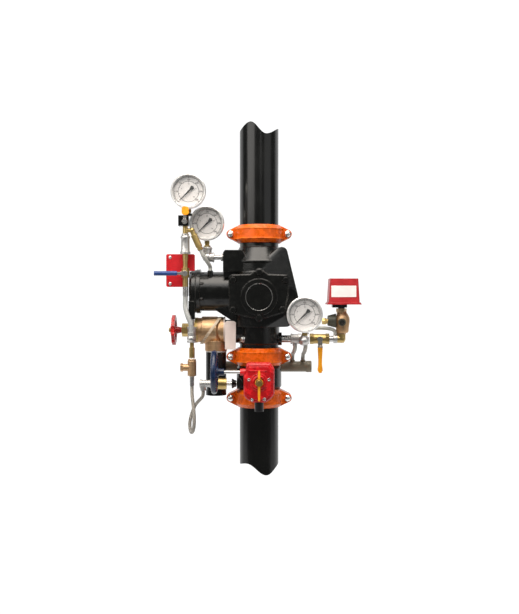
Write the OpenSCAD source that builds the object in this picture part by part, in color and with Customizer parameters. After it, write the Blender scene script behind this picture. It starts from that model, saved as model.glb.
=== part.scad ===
// Deluge valve riser assembly: a grooved 4 inch diaphragm-latched deluge valve, its butterfly
// control valve, grooved couplings, main drain, gauges and trim, between two lengths of pipe.
// Millimetres. +Z is up the riser, -Y faces the viewer, X runs to the right.
// The pipe axis is X = Y = 0, and Z = 0 is where the lower pipe's full round wall begins.

/* [Pipe] */
// Outside diameter of the riser pipe
pipe_od = 114.3; // [110:0.1:120]
// Wall of the riser pipe
pipe_wall = 6.02; // [3:0.1:8]
// Length of the lower pipe from its cut end's crest to its top end
lower_len = 186.9; // [150:1:260]
// Length of the upper pipe from its bottom end to its highest point
upper_len = 320.6; // [200:1:420]
// Gap between two pipe ends inside a coupling
pipe_gap = 3.2; // [1.6:0.2:4]
// Distance from a pipe end to its groove
groove_from_end = 15.9; // [15:0.1:17]
// Width of a groove
groove_w = 8.7; // [8:0.1:9.5]
// Depth of a groove
groove_depth = 2.1; // [1.6:0.1:2.4]
// Half of the height of the wave that breaks the lower pipe's end
lower_wave = 16.25; // [8:0.25:18]
// Half of the height of the wave that breaks the upper pipe's end
upper_wave = 17.25; // [8:0.25:20]

/* [Couplings] */
// Half of a coupling housing's width along the pipe
housing_half = 26; // [25.8:0.1:30]
// Height of a coupling housing above the pipe's outside
housing_h = 16.85; // [15.35:0.1:20.35]
// Distance from the housing's outside to a coupling bolt's centre
lug_out = 9; // [8:0.5:12]
// Radius of a bolt lug's round end
lug_r = 12.5; // [11:0.5:14]
// Depth of a bolt lug, from the split to its outer face
lug_deep = 22; // [16:1:28]
// Gap between the two housing halves
split = 2.4; // [1:0.2:4]
// Diameter of a coupling bolt
bolt_d = 9.5; // [8:0.5:12]

/* [Deluge valve body] */
// End-to-end length of the valve body
body_len = 355.6; // [340:0.1:370]
// Radius of the water chamber
chamber_r = 66; // [64:0.5:68]
// Wall of the body casting
body_wall = 11; // [9:0.5:12]
// Height of the clapper seat above the body's lower end
seat_h = 134.7; // [132:0.1:137]
// Inner radius of the seat ring
seat_bore_r = 50; // [46:0.5:51]
// Thickness of the clapper plate
clapper_t = 11.4; // [10:0.1:12]
// Height of the push rod above the body's lower end
rod_h = 189.5; // [188:0.5:191]
// Radius of the push rod
rod_r = 8; // [6:0.5:9]
// Radius of the push rod chamber's barrel
barrel_r = 58; // [57:0.5:60]
// Distance from the pipe axis to the face of the barrel's flange
barrel_x = 182.8; // [178:0.5:190]
// Thickness of the push rod chamber's cover
cover_t = 20.4; // [19:0.2:24]
// Distance from the pipe axis to the front cover's joint face
front_y = 85; // [84:0.5:90]
// Thickness of the access cover
access_t = 11.5; // [9:0.5:14]
// Diameter of the nameplate disc
nameplate_d = 80; // [60:1:84]

/* [Butterfly control valve] */
// Face-to-face length of the butterfly valve
butterfly_len = 118; // [112:0.5:124]
// Radius of the butterfly valve's body
butterfly_r = 66; // [64:0.5:68]
// Radius of the valve stem
stem_r = 9.5; // [8:0.5:11]
// Distance from the pipe axis to the gearbox's mounting face
gearbox_y = 108; // [106:0.5:112]
// Depth of the gearbox case
case_deep = 42; // [40:1:46]
// Thickness of the gearbox cover
gear_cover_t = 15; // [10:0.5:18]
// Number of teeth on the worm wheel
wheel_teeth = 24; // [24]
// Tooth module of the worm wheel
wheel_module = 1.54; // [1.4:0.02:1.6]
// Outside diameter of the gearbox handwheel
blue_wheel_d = 122; // [100:1:126]

/* [Main drain] */
// Outside diameter of the drain pipe
drain_od = 60.3; // [58:0.1:61]
// Wall of the drain pipe
drain_wall = 3.9; // [2.8:0.1:5]
// Height of the main drain's axis above the body's lower end
drain_h = 75.7; // [72:0.1:78]
// Distance from the pipe axis to the drain pipe's axis
drain_x = 127; // [124:1:132]
// Height of the drain pipe's open end
drain_end_z = 195.5; // [150:1:210]
// Outside diameter of the red drain handwheel
red_wheel_d = 88; // [70:1:96]
// Lift of the drain valve's disc
drain_lift = 14; // [10:1:16]

/* [Gauges] */
// Outside diameter of a gauge's bezel
gauge_d = 102; // [96:1:104]
// Depth of a gauge's case
gauge_deep = 34; // [28:1:40]
// Place of the upper gauge's centre along X
upper_gauge_x = -202; // [-204:1:-200]
// Height of the upper gauge's centre
upper_gauge_z = 786.6; // [786:0.2:800]
// Place of the middle gauge's centre along X
middle_gauge_x = -152; // [-154:1:-150]
// Height of the middle gauge's centre above its port in the body
middle_gauge_rise = 98.7; // [94:0.5:104]
// Place of the lower gauge's centre along X
lower_gauge_x = 129; // [128:0.5:131]
// Height of the lower gauge's centre
lower_gauge_z = 434.8; // [434:0.2:440]

/* [Trim] */
// Height of the alarm trim's axis above the body's lower end
trim_h = 49.7; // [48:0.1:52]
// Distance from the pipe axis to the emergency station's pipe column
station_x = 212; // [212:0.5:215]
// Distance from the pipe axis to the strainer's axis
strainer_x = 194; // [192:0.5:196]
// Width of the emergency station's plate
plate_w = 83; // [70:0.5:90]
// Height of the emergency station's plate
plate_h = 95; // [80:1:104]
// Length of the alarm test valve's lever, from its hub to its end
alarm_lever = 99; // [80:1:110]
// Width of the pressure switch's cover
switch_w = 90; // [80:1:94]
// Height of the pressure switch's cover
switch_h = 68; // [60:1:76]
// Depth of the pressure switch's cover
switch_deep = 84; // [70:1:90]
// Diameter of the strainer's braided hose
loop_hose_d = 10; // [9:0.5:11]
// Diameter of the chamber's supply hose
chamber_hose_d = 14; // [12:0.5:15]
// Diameter of the manifold behind the riser
manifold_d = 32; // [26:1:33]

/* [Fits] */
// Radial clearance of a shaft that turns or slides in its bore
running = 0.08; // [0.05:0.01:0.1]
// Gap between two pieces that nearly touch and move apart
near = 0.35; // [0.3:0.05:0.6]

/* [Hidden] */
$fn = 64;

// Riser: radii, then the heights of the ends from the bottom up
pipe_r = pipe_od / 2;
bore_r = pipe_r - pipe_wall;
butterfly_z0 = 190.1;
lower_z1 = butterfly_z0 - pipe_gap;
lower_z0 = lower_z1 - lower_len;
butterfly_z1 = butterfly_z0 + butterfly_len;
body_z0 = butterfly_z1 + pipe_gap;
body_z1 = body_z0 + body_len;
upper_z0 = body_z1 + pipe_gap;
upper_top = upper_z0 + upper_len;
coupling_zs = [lower_z1 + pipe_gap / 2, butterfly_z1 + pipe_gap / 2, body_z1 + pipe_gap / 2];
groove_mid = groove_from_end + groove_w / 2;
groove_r = pipe_r - groove_depth;
housing_r = pipe_r + housing_h;
lug_x = housing_r + lug_out;
seat_z = body_z0 + seat_h;
rod_z = body_z0 + rod_h;
drain_z = body_z0 + drain_h;
trim_z = body_z0 + trim_h;
stem_z = (butterfly_z0 + butterfly_z1) / 2;

// Break waves: where the crest and the trough of each lie along X, and the outer half periods
lower_crest_x = -35;
lower_trough_x = 22.6;
upper_crest_x = -25;
upper_trough_x = 20;

// Body: where the right swing pocket, the top shoulder and the lower corner are centred
swing_x = 75;
swing_z = seat_z + 30;
swing_r = 31;
swing_wall = 7.5;
swing_half_y = 66;
neck_top_z = body_z1 - 34.9;
shoulder_z = neck_top_z - 76;
corner_x = 65;
corner_z = neck_top_z - 32;
corner_r = 8;
corner_half_y = 52;
block_z = neck_top_z - 11.7;
middle_port_z = block_z - 20;
middle_gauge_z = middle_port_z + middle_gauge_rise;
foot_z = seat_z - 48;
body_foot_r = 60;
access_z = body_z0 + 181.2;
seat_t = 12;
seat_out_r = 60;

// Clapper, latch and rod
hinge_x = 72;
hinge_z = seat_z + 10;
facing_t = 4.3;
clapper_z = seat_z + near + facing_t;
lip_x = 62;
lip_bevel = 8;
lip_z = seat_z + 9;
lip_h = 13;
pin_r = 6;
latch_x = -69;
latch_z = rod_z + 25.2;
latch_arm = 7;
latch_half_y = 12;
rod_tip_x = latch_x - latch_arm - near;
diaphragm_t = 2;
cavity_r = 46;
plate_r = 36;

// Gearbox: the stem turns about Y at the wheel's centre, the worm runs along X above it
pitch_r = wheel_module * wheel_teeth / 2;
worm_pitch_r = 8;
worm_z = stem_z + pitch_r + worm_pitch_r;
worm_lead = wheel_module * PI;
worm_y = -(gearbox_y + 32);
worm_shaft_r = 4.5;
case_front_y = -(gearbox_y + case_deep);
cover_front_y = case_front_y - gear_cover_t;
case_left = -45;
case_right = 42;
pointer_y = cover_front_y - 10;
blue_wheel_x = -124.6;

// Main drain, along -X from the body
drain_r = drain_od / 2;
drain_bore_r = drain_r - drain_wall;
drain_boss_x = 79;
drain_body_x0 = 100;
drain_body_x1 = 180;
drain_seat_x = drain_x - 20;
bonnet_x = 227;
drain_socket_z = drain_z - 60.1;
red_wheel_x = 251;

// Column of the emergency station, and the gauges above it
station_y = -62;
upper_gauge_y = station_y - 19;
gauge_y = -39;
lower_gauge_y = -112;
plate_y = -45;
plate_x = 227.4;
plate_z = 561.1;
station_ball_z = 552;
cock_z = 700;
cock_top = 724;

// Strainer column, from the chamber cover's port down to the loop of hose
strainer_y = -54;
port_z = rod_z - 80;
supply_y = -50;
supply_z = stem_z - 15.1;
alarm_ball_x = 178.7;
alarm_check_x = 243;
switch_x = 247.9;
switch_z = 462.5;
manifold_y = 88;
manifold_z = 271.4;
manifold_end_x = 160;

// Route of the strainer's hose: down in front, round its lowest point and up behind
loop_route = [[-194, -54, 228], [-194, -54, 216], [-193, -60, 200], [-190, -71, 182],
    [-187, -82, 163], [-185, -89, 143], [-185, -90, 122], [-188, -81, 105], [-193, -64, 95],
    [-198, -44, 93], [-202, -25, 99], [-204, -11, 113], [-201, -5, 132], [-195, -7, 150],
    [-188, -14, 166], [-179, -26, 178], [-170, -38, 188], [-164, -47, 196], [-162, -50, 205],
    [-162, -50, 214]];
// Route of the chamber's hose: from the station's adaptor down to the elbow on the column's tee
chamber_route = [[-212, -62, 488], [-212, -62, 474], [-212, -65, 458], [-208, -71, 441],
    [-202, -76, 425], [-196, -78, 410], [-194, -78, 396], [-194, -78, 384]];
// Routes of the bent drip tubes
drip_route_a = [[106, 0, trim_z - 20], [106, 0, trim_z - 26], [105, 8, trim_z - 34],
    [103, 28, trim_z - 42], [102, 52, trim_z - 47], [102, 74, trim_z - 53],
    [102, manifold_y, trim_z - 62], [102, manifold_y, trim_z - 70]];
drip_route_b = [[137, 0, trim_z - 20], [137, 0, trim_z - 26], [136, 8, trim_z - 34],
    [135, 28, trim_z - 42], [134, 52, trim_z - 47], [134, 74, trim_z - 53],
    [134, manifold_y, trim_z - 62], [134, manifold_y, trim_z - 70]];
arch_route = [[140, 0, trim_z + 18], [140, 0, trim_z + 22], [145, 0, trim_z + 28],
    [158, 0, trim_z + 31], [182, 0, trim_z + 32], [206, 0, trim_z + 30],
    [219, 0, trim_z + 26], [224.5, 0, trim_z + 20], [224.5, 0, trim_z + 13.5]];
tube_c_route = [[-167.78, station_y, 619.36], [-165.34, station_y, 613.88], [-161, -60, 604],
    [-155, -55, 594], [-149, -48, 585], [-144, -41, 577], [-142, -36, 570], [-142, -36, 561]];

// A solid cylinder along X, Y or Z from one place to another
module xcyl(x0, x1, r, y = 0, z = 0, sides = $fn) {
    translate([min(x0, x1), y, z]) rotate([0, 90, 0]) cylinder(h = abs(x1 - x0), r = r, $fn = sides);
}
module ycyl(y0, y1, r, x = 0, z = 0, sides = $fn) {
    translate([x, min(y0, y1), z]) rotate([-90, 0, 0]) cylinder(h = abs(y1 - y0), r = r, $fn = sides);
}
module zcyl(z0, z1, r, x = 0, y = 0, sides = $fn) {
    translate([x, y, min(z0, z1)]) cylinder(h = abs(z1 - z0), r = r, $fn = sides);
}
// The corner radius of a hexagon from its width across flats
function hex(flats) = flats / 2 / cos(30);
// A flat outline in X and Z, given thickness along Y
module xz(y0, y1) {
    translate([0, max(y0, y1), 0]) rotate([90, 0, 0]) linear_extrude(abs(y1 - y0)) children();
}
// A flat outline in X and Y, given thickness along Z
module xy(z0, z1) {
    translate([0, 0, z0]) linear_extrude(z1 - z0) children();
}
module round_rect(w, h, r) {
    square([w - 2 * r, h], center = true);
    square([w, h - 2 * r], center = true);
    for (x = [-1, 1], y = [-1, 1]) translate([x * (w / 2 - r), y * (h / 2 - r)]) circle(r);
}
// A cast fitting along X or Z: a body with a raised band at each end
module band_x(x0, x1, r, y, z, band = 5) {
    xcyl(x0, x1, r - 1.6, y, z);
    xcyl(x0, x0 + band, r, y, z);
    xcyl(x1 - band, x1, r, y, z);
}
module band_z(z0, z1, r, x, y, band = 5) {
    zcyl(z0, z1, r - 1.6, x, y);
    zcyl(z0, z0 + band, r, x, y);
    zcyl(z1 - band, z1, r, x, y);
}

// A tube of a few sides swept along a route of points
function unit(v) = v / norm(v);
function along(p, i) = unit(p[min(i + 1, len(p) - 1)] - p[max(i - 1, 0)]);
function ring(p, i, r, n, side) = [for (k = [0:n - 1])
    let (d = along(p, i), u = unit(cross(d, side)), v = cross(d, u), a = 360 * k / n)
    p[i] + r * (cos(a) * u + sin(a) * v)];
module sweep(p, r, n = 8, side = [1, 0.2, 0]) {
    last = (len(p) - 1) * n;
    polyhedron(
        points = [for (i = [0:len(p) - 1]) each ring(p, i, r, n, side)],
        faces = concat(
            [[for (k = [0:n - 1]) k]],
            [for (i = [0:len(p) - 2], k = [0:n - 1])
                [i * n + k, (i + 1) * n + k, (i + 1) * n + (k + 1) % n, i * n + (k + 1) % n]],
            [[for (k = [n - 1:-1:0]) last + k]]));
}

// The wave of a broken pipe end, from 1 at its crest to -1 at its trough
function wave(x, crest, trough, left, right) =
    x < crest ? cos(180 * (x - crest) / left) :
    x < trough ? cos(180 * (x - crest) / (trough - crest)) :
    -cos(180 * (x - trough) / right);
module groove(z) {
    translate([0, 0, z - groove_w / 2]) difference() {
        cylinder(h = groove_w, r = pipe_r + 3);
        translate([0, 0, -1]) cylinder(h = groove_w + 2, r = groove_r);
    }
}

module riser_lower() {
    color("#15171a") difference() {
        zcyl(lower_z0 - 2 * lower_wave, lower_z1, pipe_r);
        zcyl(lower_z0 - 2 * lower_wave - 1, lower_z1 + 1, bore_r);
        groove(lower_z1 - groove_mid);
        xz(-pipe_od, pipe_od) polygon(concat(
            [[-pipe_od, lower_z0 - 60]],
            [for (x = [-60:5:60])
                [x, lower_z0 + lower_wave * (wave(x, lower_crest_x, lower_trough_x, 71, 47.4) - 1)]],
            [[pipe_od, lower_z0 - 60]]));
    }
}
module riser_upper() {
    color("#15171a") difference() {
        zcyl(upper_z0, upper_top, pipe_r);
        zcyl(upper_z0 - 1, upper_top + 1, bore_r);
        groove(upper_z0 + groove_mid);
        xz(-pipe_od, pipe_od) polygon(concat(
            [[-pipe_od, upper_top + 10]],
            [for (x = [-60:5:60])
                [x, upper_top + upper_wave * (wave(x, upper_crest_x, upper_trough_x, 54.5, 63.2) - 1)]],
            [[pipe_od, upper_top + 10]]));
    }
}

// One housing half, in front of the split: a grooved ring with a bolt lug at each side
module housing_half() {
    key_out = groove_from_end + groove_w + pipe_gap / 2 - 0.5;
    key_in = groove_from_end + pipe_gap / 2 + 0.5;
    w = housing_half;
    difference() {
        union() {
            rotate([0, 0, 180]) rotate_extrude(angle = 180, $fn = 96) polygon([
                [pipe_r + 0.5, w], [housing_r - 11, w], [housing_r - 9.5, w - 2],
                [housing_r - 1.5, w - 10], [housing_r, w - 11], [housing_r, w - 13],
                [housing_r - 1, w - 13.6], [housing_r - 1, 13.6 - w], [housing_r, 13 - w],
                [housing_r, 11 - w], [housing_r - 1.5, 10 - w], [housing_r - 9.5, 2 - w],
                [housing_r - 11, -w], [pipe_r + 0.5, -w], [pipe_r + 0.5, -key_out],
                [groove_r + near, -key_out], [groove_r + near, -key_in],
                [pipe_r + 3, -key_in], [housing_r - 5.5, 2.5 - key_in],
                [housing_r - 5.5, key_in - 2.5], [pipe_r + 3, key_in],
                [groove_r + near, key_in], [groove_r + near, key_out], [pipe_r + 0.5, key_out]]);
            for (s = [-1, 1]) {
                xz(-lug_deep, 0) polygon([
                    [s * (housing_r - 15.5), w - 3], [s * (housing_r - 8), w - 3.6],
                    [s * (lug_x + lug_r * 0.5), lug_r * 0.87], [s * (lug_x + lug_r * 0.5), -lug_r * 0.87],
                    [s * (housing_r - 8), 3.6 - w], [s * (housing_r - 15.5), 3 - w],
                    [s * (housing_r - 5), 2 - key_in], [s * (housing_r - 5), key_in - 2]]);
                ycyl(-lug_deep, 0, lug_r, s * lug_x, 0);
            }
        }
        translate([-150, -split / 2, -50]) cube([300, 100, 100]);
        for (s = [-1, 1]) ycyl(-60, 10, bolt_d / 2, s * lug_x, 0);
    }
}
module coupling_front_halves() {
    color("#e2500f") for (z = coupling_zs) translate([0, 0, z]) housing_half();
}
module coupling_rear_halves() {
    color("#e2500f") for (z = coupling_zs) translate([0, 0, z]) rotate([0, 0, 180]) housing_half();
}
module rubber_gaskets() {
    reach = groove_from_end + pipe_gap / 2 - 1.5;
    out_r = housing_r - 5.8;
    color("#1b1b1b") {
        for (z = coupling_zs) translate([0, 0, z]) rotate_extrude() polygon([
            [pipe_r, 4], [pipe_r, reach], [pipe_r + 4, reach], [out_r, reach - 2.5],
            [out_r, 2.5 - reach], [pipe_r + 4, -reach], [pipe_r, -reach], [pipe_r, -4],
            [pipe_r + 6, -6], [pipe_r + 6, 6]]);
        xz(-front_y - 1.5, -front_y) difference() {
            access_outline();
            translate([0, access_z]) round_rect(116, 90, 16);
            for (p = access_bolts) translate([p[0], access_z + p[1]]) circle(5.5);
        }
    }
}
// A track bolt in each lug: a round head in front, and a hex nut behind
module coupling_bolts() {
    color("#c9ccd0") for (z = coupling_zs, s = [-1, 1]) translate([s * lug_x, 0, z]) {
        ycyl(-lug_deep - 3, lug_deep + 12, bolt_d / 2);
        ycyl(-lug_deep - 4, -lug_deep, bolt_d);
        translate([0, -lug_deep - 4, 0]) rotate([90, 0, 0]) intersection() {
            translate([0, 0, -8]) sphere(bolt_d + 3);
            cylinder(h = 8, r = bolt_d);
        }
        difference() {
            ycyl(lug_deep, lug_deep + 8.5, hex(bolt_d * 1.85), sides = 6);
            ycyl(lug_deep - 1, lug_deep + 10, bolt_d / 2 + running);
        }
    }
}

// Access cover outline: a hexagon with a lobe round each bolt
access_bolts = [[0, 62], [0, -66], [75, 40], [66, -43], [-74, 41], [-74, -44]];
module access_outline() {
    translate([0, access_z]) {
        polygon([[-80, 56], [-26, 57], [-13, 67], [13, 67], [26, 57], [80, 55], [86, 47],
            [84, 0], [75, -44], [66, -54], [20, -68], [-20, -68], [-76, -56], [-86, -46], [-87, 48]]);
        for (p = access_bolts) translate(p) circle(11.5);
    }
}

// Outer form of the casting, before anything is bored
module body_outside() {
    r = chamber_r + body_wall;
    hull() {
        zcyl(foot_z, shoulder_z, r, sides = 48);
        ycyl(-swing_half_y - 9, swing_half_y + 9, swing_r + swing_wall, swing_x, swing_z, sides = 32);
        ycyl(-corner_half_y - 8, corner_half_y + 8, corner_r + 9, corner_x, corner_z + 12, sides = 24);
        ycyl(-corner_half_y, corner_half_y, 16, 78, foot_z + 16, sides = 24);
    }
    rotate_extrude() polygon([[0, shoulder_z - 16], [r - 2, shoulder_z - 16],
        [r - 2, shoulder_z + 26], [r + 1, shoulder_z + 30], [r + 1, shoulder_z + 33],
        [r - 1, shoulder_z + 36], [body_foot_r, neck_top_z - 5], [pipe_r, neck_top_z],
        [pipe_r, body_z1], [0, body_z1]]);
    rotate_extrude() polygon([[0, body_z0], [pipe_r, body_z0], [pipe_r, body_z0 + 34],
        [body_foot_r, body_z0 + 38], [body_foot_r, foot_z + 6], [0, foot_z + 6]]);
    xcyl(-barrel_x + 10, -50, barrel_r, 0, rod_z);
    xcyl(-barrel_x, -barrel_x + 11.2, barrel_r + 7, 0, rod_z);
    hull() {
        ycyl(-38, 38, 12, -64, foot_z + 22, sides = 24);
        ycyl(-30, 30, 12, -117, rod_z - 47, sides = 24);
        ycyl(-38, 38, 12, -60, rod_z, sides = 24);
    }
    xz(-60, 20) polygon([[-104, rod_z + 57], [-104, block_z - 7.5], [-98, block_z],
        [-48, block_z], [-30, block_z - 39.5], [-30, rod_z + 57]]);
    xz(-40, 20) polygon([[-104, rod_z + 38], [-104, rod_z + 58], [-30, rod_z + 58],
        [-30, rod_z + 38]]);
    xz(-front_y, -50) access_outline();
    xcyl(-drain_boss_x, -30, drain_r + 8, 0, drain_z);
    xcyl(30, 66.7, 19, 0, trim_z);
    ycyl(50, 86, 15, hinge_x, hinge_z);
    ycyl(38, 56, 12, latch_x, latch_z);
    zcyl(rod_z + 20, 561, 8, -142, -36);
}
module body_inside() {
    hull() {
        zcyl(seat_z, shoulder_z - 2, chamber_r, sides = 48);
        ycyl(-swing_half_y, swing_half_y, swing_r, swing_x, swing_z, sides = 32);
        ycyl(-corner_half_y, corner_half_y, corner_r, corner_x, corner_z, sides = 24);
    }
    rotate_extrude() polygon([[0, shoulder_z - 14], [chamber_r - 3, shoulder_z - 14],
        [chamber_r - 2, shoulder_z], [bore_r, neck_top_z - 18], [bore_r, body_z1 + 1],
        [0, body_z1 + 1]]);
    rotate_extrude() polygon([[0, body_z0 - 1], [bore_r, body_z0 - 1], [bore_r, body_z0 + 34],
        [seat_bore_r, body_z0 + 44], [seat_bore_r, seat_z - seat_t + 1], [0, seat_z - seat_t + 1]]);
    zcyl(seat_z - seat_t, seat_z + 1, seat_out_r);
    xcyl(-120, -55, barrel_r - 9, 0, rod_z);
    xcyl(-barrel_x - 1, -150, cavity_r, 0, rod_z);
    xcyl(-151, -119, rod_r + running, 0, rod_z);
    xz(-front_y - 1, -45) translate([0, access_z]) round_rect(112, 86, 14);
}
module valve_body() {
    color("#0c0d0e") difference() {
        body_outside();
        body_inside();
        groove(body_z0 + groove_mid);
        groove(body_z1 - groove_mid);
        xcyl(-drain_boss_x - 1, -drain_boss_x + 12, drain_r, 0, drain_z);
        xcyl(-drain_boss_x, 0, drain_bore_r, 0, drain_z);
        xcyl(-100, -drain_boss_x, drain_r + 2, 0, drain_z);
        xcyl(56, 67.7, 10.65, 0, trim_z);
        xcyl(-105, -94, 6.85, middle_port_y, middle_port_z);
        ycyl(-71, 87, pin_r, hinge_x, hinge_z);
        ycyl(-48, 57, pin_r, latch_x, latch_z);
        for (p = access_bolts) ycyl(-front_y - 1, -front_y + 13, 5, p[0], access_z + p[1]);
        for (a = chamber_bolt_angles) rotate_x_about(a) xcyl(-barrel_x - 1, -barrel_x + 22, 4, 0, 56);
    }
}
middle_port_y = gauge_y + 19;
chamber_bolt_angles = [22.5:45:360];
module rotate_x_about(a) {
    translate([0, 0, rod_z]) rotate([a, 0, 0]) children();
}

module access_cover() {
    y0 = -front_y - 1.5;
    color("#0c0d0e") difference() {
        union() {
            xz(y0 - access_t + 3, y0) access_outline();
            xz(y0 - access_t, y0 - access_t + 3) translate([0, access_z]) scale(0.965)
                translate([0, -access_z]) access_outline();
            ycyl(y0 - access_t - 4, y0 - access_t, 52, 0, access_z - 8);
            xz(y0, y0 + 14) translate([0, access_z]) difference() {
                round_rect(110, 84, 13);
                round_rect(98, 72, 8);
            }
        }
        for (p = access_bolts) {
            ycyl(y0 - 60, y0 + 20, 5.5, p[0], access_z + p[1]);
            ycyl(y0 - 60, y0 - access_t + 2, 11, p[0], access_z + p[1]);
        }
    }
}
// Hex bolts of the access cover and of the push rod chamber
module housing_bolts() {
    y0 = -front_y - 1.5 - access_t + 2;
    color("#17191b") {
        for (p = access_bolts) {
            ycyl(y0, -front_y + 12, 5, p[0], access_z + p[1]);
            ycyl(y0 - 7, y0, hex(16), p[0], access_z + p[1], sides = 6);
        }
        for (a = chamber_bolt_angles) rotate_x_about(a) {
            xcyl(-barrel_x - cover_t + 7, -barrel_x + 20, 4, 0, 56);
            xcyl(-barrel_x - cover_t + 1, -barrel_x - cover_t + 7, hex(12), 0, 56, sides = 6);
        }
    }
}
// Plate disc on the cover, with a raised rim
module nameplate() {
    y0 = -front_y - 5.5 - access_t;
    color("#101214") translate([0, 0, access_z - 8]) {
        ycyl(y0 - 1.5, y0, nameplate_d / 2);
        difference() {
            ycyl(y0 - 2.3, y0, nameplate_d / 2);
            ycyl(y0 - 3, y0 + 1, nameplate_d / 2 - 1.6);
        }
    }
}

module seat_ring() {
    color("#b98a3f") difference() {
        zcyl(seat_z - seat_t, seat_z, seat_out_r);
        zcyl(seat_z - seat_t - 1, seat_z + 1, seat_bore_r);
        translate([0, 0, seat_z - 3]) difference() {
            cylinder(h = 4, r = seat_out_r + 1);
            translate([0, 0, -1]) cylinder(h = 6, r = seat_bore_r + 4);
        }
    }
}
// Clapper plate with its ribs, its bevelled lip on the left and two knuckles on the right
module clapper() {
    top = clapper_z + clapper_t;
    color("#8f9396") difference() {
        union() {
            zcyl(clapper_z, top, 57);
            zcyl(clapper_z, top + 6, 20);
            for (a = [35, -35]) rotate([0, 0, a]) translate([-50, -4, top - 1]) cube([100, 8, 6]);
            xz(-14, 14) polygon([[-lip_x, clapper_z], [-lip_x + 12, clapper_z],
                [-lip_x + 14, lip_z + lip_h], [-lip_x + (lip_z + lip_h - clapper_z) * tan(lip_bevel), lip_z + lip_h]]);
            for (s = [-1, 1]) translate([0, s * 26, 0]) {
                xz(-8, 8) polygon([[30, clapper_z + 1], [57, clapper_z + 0.3], [hinge_x, hinge_z - 8],
                    [hinge_x, hinge_z + 9], [30, top + 5]]);
                ycyl(-8, 8, 10, hinge_x, hinge_z);
            }
        }
        ycyl(-60, 60, pin_r + running, hinge_x, hinge_z);
    }
}
module clapper_facing() {
    color("#202020") zcyl(clapper_z - facing_t, clapper_z, 54);
}
// Hinge pin of the clapper and pivot pin of the latch, each with a hex head behind
module pivot_pins() {
    color("#9a9ea2") {
        ycyl(-70.5, 86, pin_r, hinge_x, hinge_z);
        ycyl(86, 93, hex(19), hinge_x, hinge_z, sides = 6);
        ycyl(-47, 56, pin_r, latch_x, latch_z);
        ycyl(56, 62, hex(17), latch_x, latch_z, sides = 6);
    }
}
// Latch: its nose leans over the clapper's bevelled lip, and the push rod bears on its back
module latch_lever() {
    low = lip_z - latch_z;
    high = lip_z + lip_h - latch_z;
    nose = -lip_x - 0.4 - latch_x;
    rise = (lip_z - clapper_z) * tan(lip_bevel);
    color("#a9792f") translate([latch_x, 0, latch_z]) difference() {
        union() {
            ycyl(-latch_half_y, latch_half_y, 11);
            xz(-latch_half_y, latch_half_y) polygon([[-latch_arm, 0], [-latch_arm, low],
                [nose + rise, low], [nose + rise + lip_h * tan(lip_bevel), high],
                [latch_arm, high + 8], [latch_arm, 0]]);
        }
        ycyl(-20, 20, pin_r + running);
    }
}
module push_rod() {
    color("#b0b4b8") {
        xcyl(rod_tip_x - 4, rod_tip_x, rod_r - 2, 0, rod_z);
        xcyl(-barrel_x + 7, rod_tip_x - 4, rod_r, 0, rod_z);
        xcyl(-barrel_x + 0.6, -barrel_x + 7, plate_r, 0, rod_z);
    }
}
module diaphragm() {
    color("#222222") difference() {
        xcyl(-barrel_x - diaphragm_t, -barrel_x, barrel_r + 5, 0, rod_z);
        for (a = chamber_bolt_angles) rotate_x_about(a) xcyl(-barrel_x - 10, -barrel_x + 5, 4, 0, 56);
    }
}
// Chamber cover: a dished cap with the inlet port boss low on its side
module chamber_cover() {
    x0 = -barrel_x - diaphragm_t;
    x1 = -barrel_x - cover_t;
    color("#0c0d0e") difference() {
        union() {
            xcyl(x1 + 7, x0, barrel_r + 5, 0, rod_z);
            translate([x1, 0, rod_z]) rotate([0, 90, 0]) rotate_extrude()
                polygon([[0, 0], [barrel_r - 2, 0], [barrel_r + 5, 7], [0, 7]]);
            translate([x1, strainer_y - 8.5, port_z]) cube([x0 - x1, 17, 52]);
        }
        xcyl(x0 + 1, x0 - 14.6, cavity_r, 0, rod_z);
        for (a = chamber_bolt_angles) rotate_x_about(a) xcyl(x1 - 20, x0 + 1, 4, 0, 56);
        for (a = chamber_bolt_angles) rotate_x_about(a) xcyl(x1 - 20, x1 + 7, 8.5, 0, 56);
        zcyl(port_z - 1, port_z + 12, 6.85, -strainer_x, strainer_y);
    }
}

module butterfly_body() {
    color("#101113") difference() {
        union() {
            zcyl(butterfly_z0, butterfly_z1, pipe_r);
            rotate_extrude() polygon([[0, stem_z - 33], [butterfly_r - 5, stem_z - 33],
                [butterfly_r, stem_z - 27], [butterfly_r, stem_z + 27],
                [butterfly_r - 5, stem_z + 33], [0, stem_z + 33]]);
            ycyl(-gearbox_y, -40, 22, 0, stem_z);
            xz(-gearbox_y, -gearbox_y + 9) translate([0, stem_z]) round_rect(66, 66, 12);
            ycyl(40, 70, 20, 0, stem_z);
            xcyl(-64.5, -20, 15, supply_y + 20, supply_z);
            ycyl(supply_y, -28, 15, -64, supply_z);
        }
        zcyl(butterfly_z0 - 1, butterfly_z1 + 1, bore_r);
        groove(butterfly_z0 + groove_mid);
        groove(butterfly_z1 - groove_mid);
        ycyl(-gearbox_y - 1, 68, stem_r + running, 0, stem_z);
        translate([-90, -90, stem_z - 40]) cube([25.5, 90, 80]);
    }
}
// Disc, edge on to the flow when the valve is open: a thin lens with a hub for the stem
module butterfly_disc() {
    rim = bore_r - 0.65;
    color("#2a2c2e") difference() {
        union() {
            translate([0, 0, stem_z]) rotate([0, 90, 0]) rotate_extrude() polygon([[0, -9],
                [18, -8], [rim - 6, -4], [rim, -3.4], [rim, 3.4], [rim - 6, 4], [18, 8], [0, 9]]);
            ycyl(-bore_r + 4, bore_r - 4, 13, 0, stem_z);
        }
        ycyl(-bore_r, bore_r, stem_r, 0, stem_z);
    }
}
module butterfly_stem() {
    color("#b6babd") {
        ycyl(cover_front_y - 5, 64, stem_r, 0, stem_z);
    }
}

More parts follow.
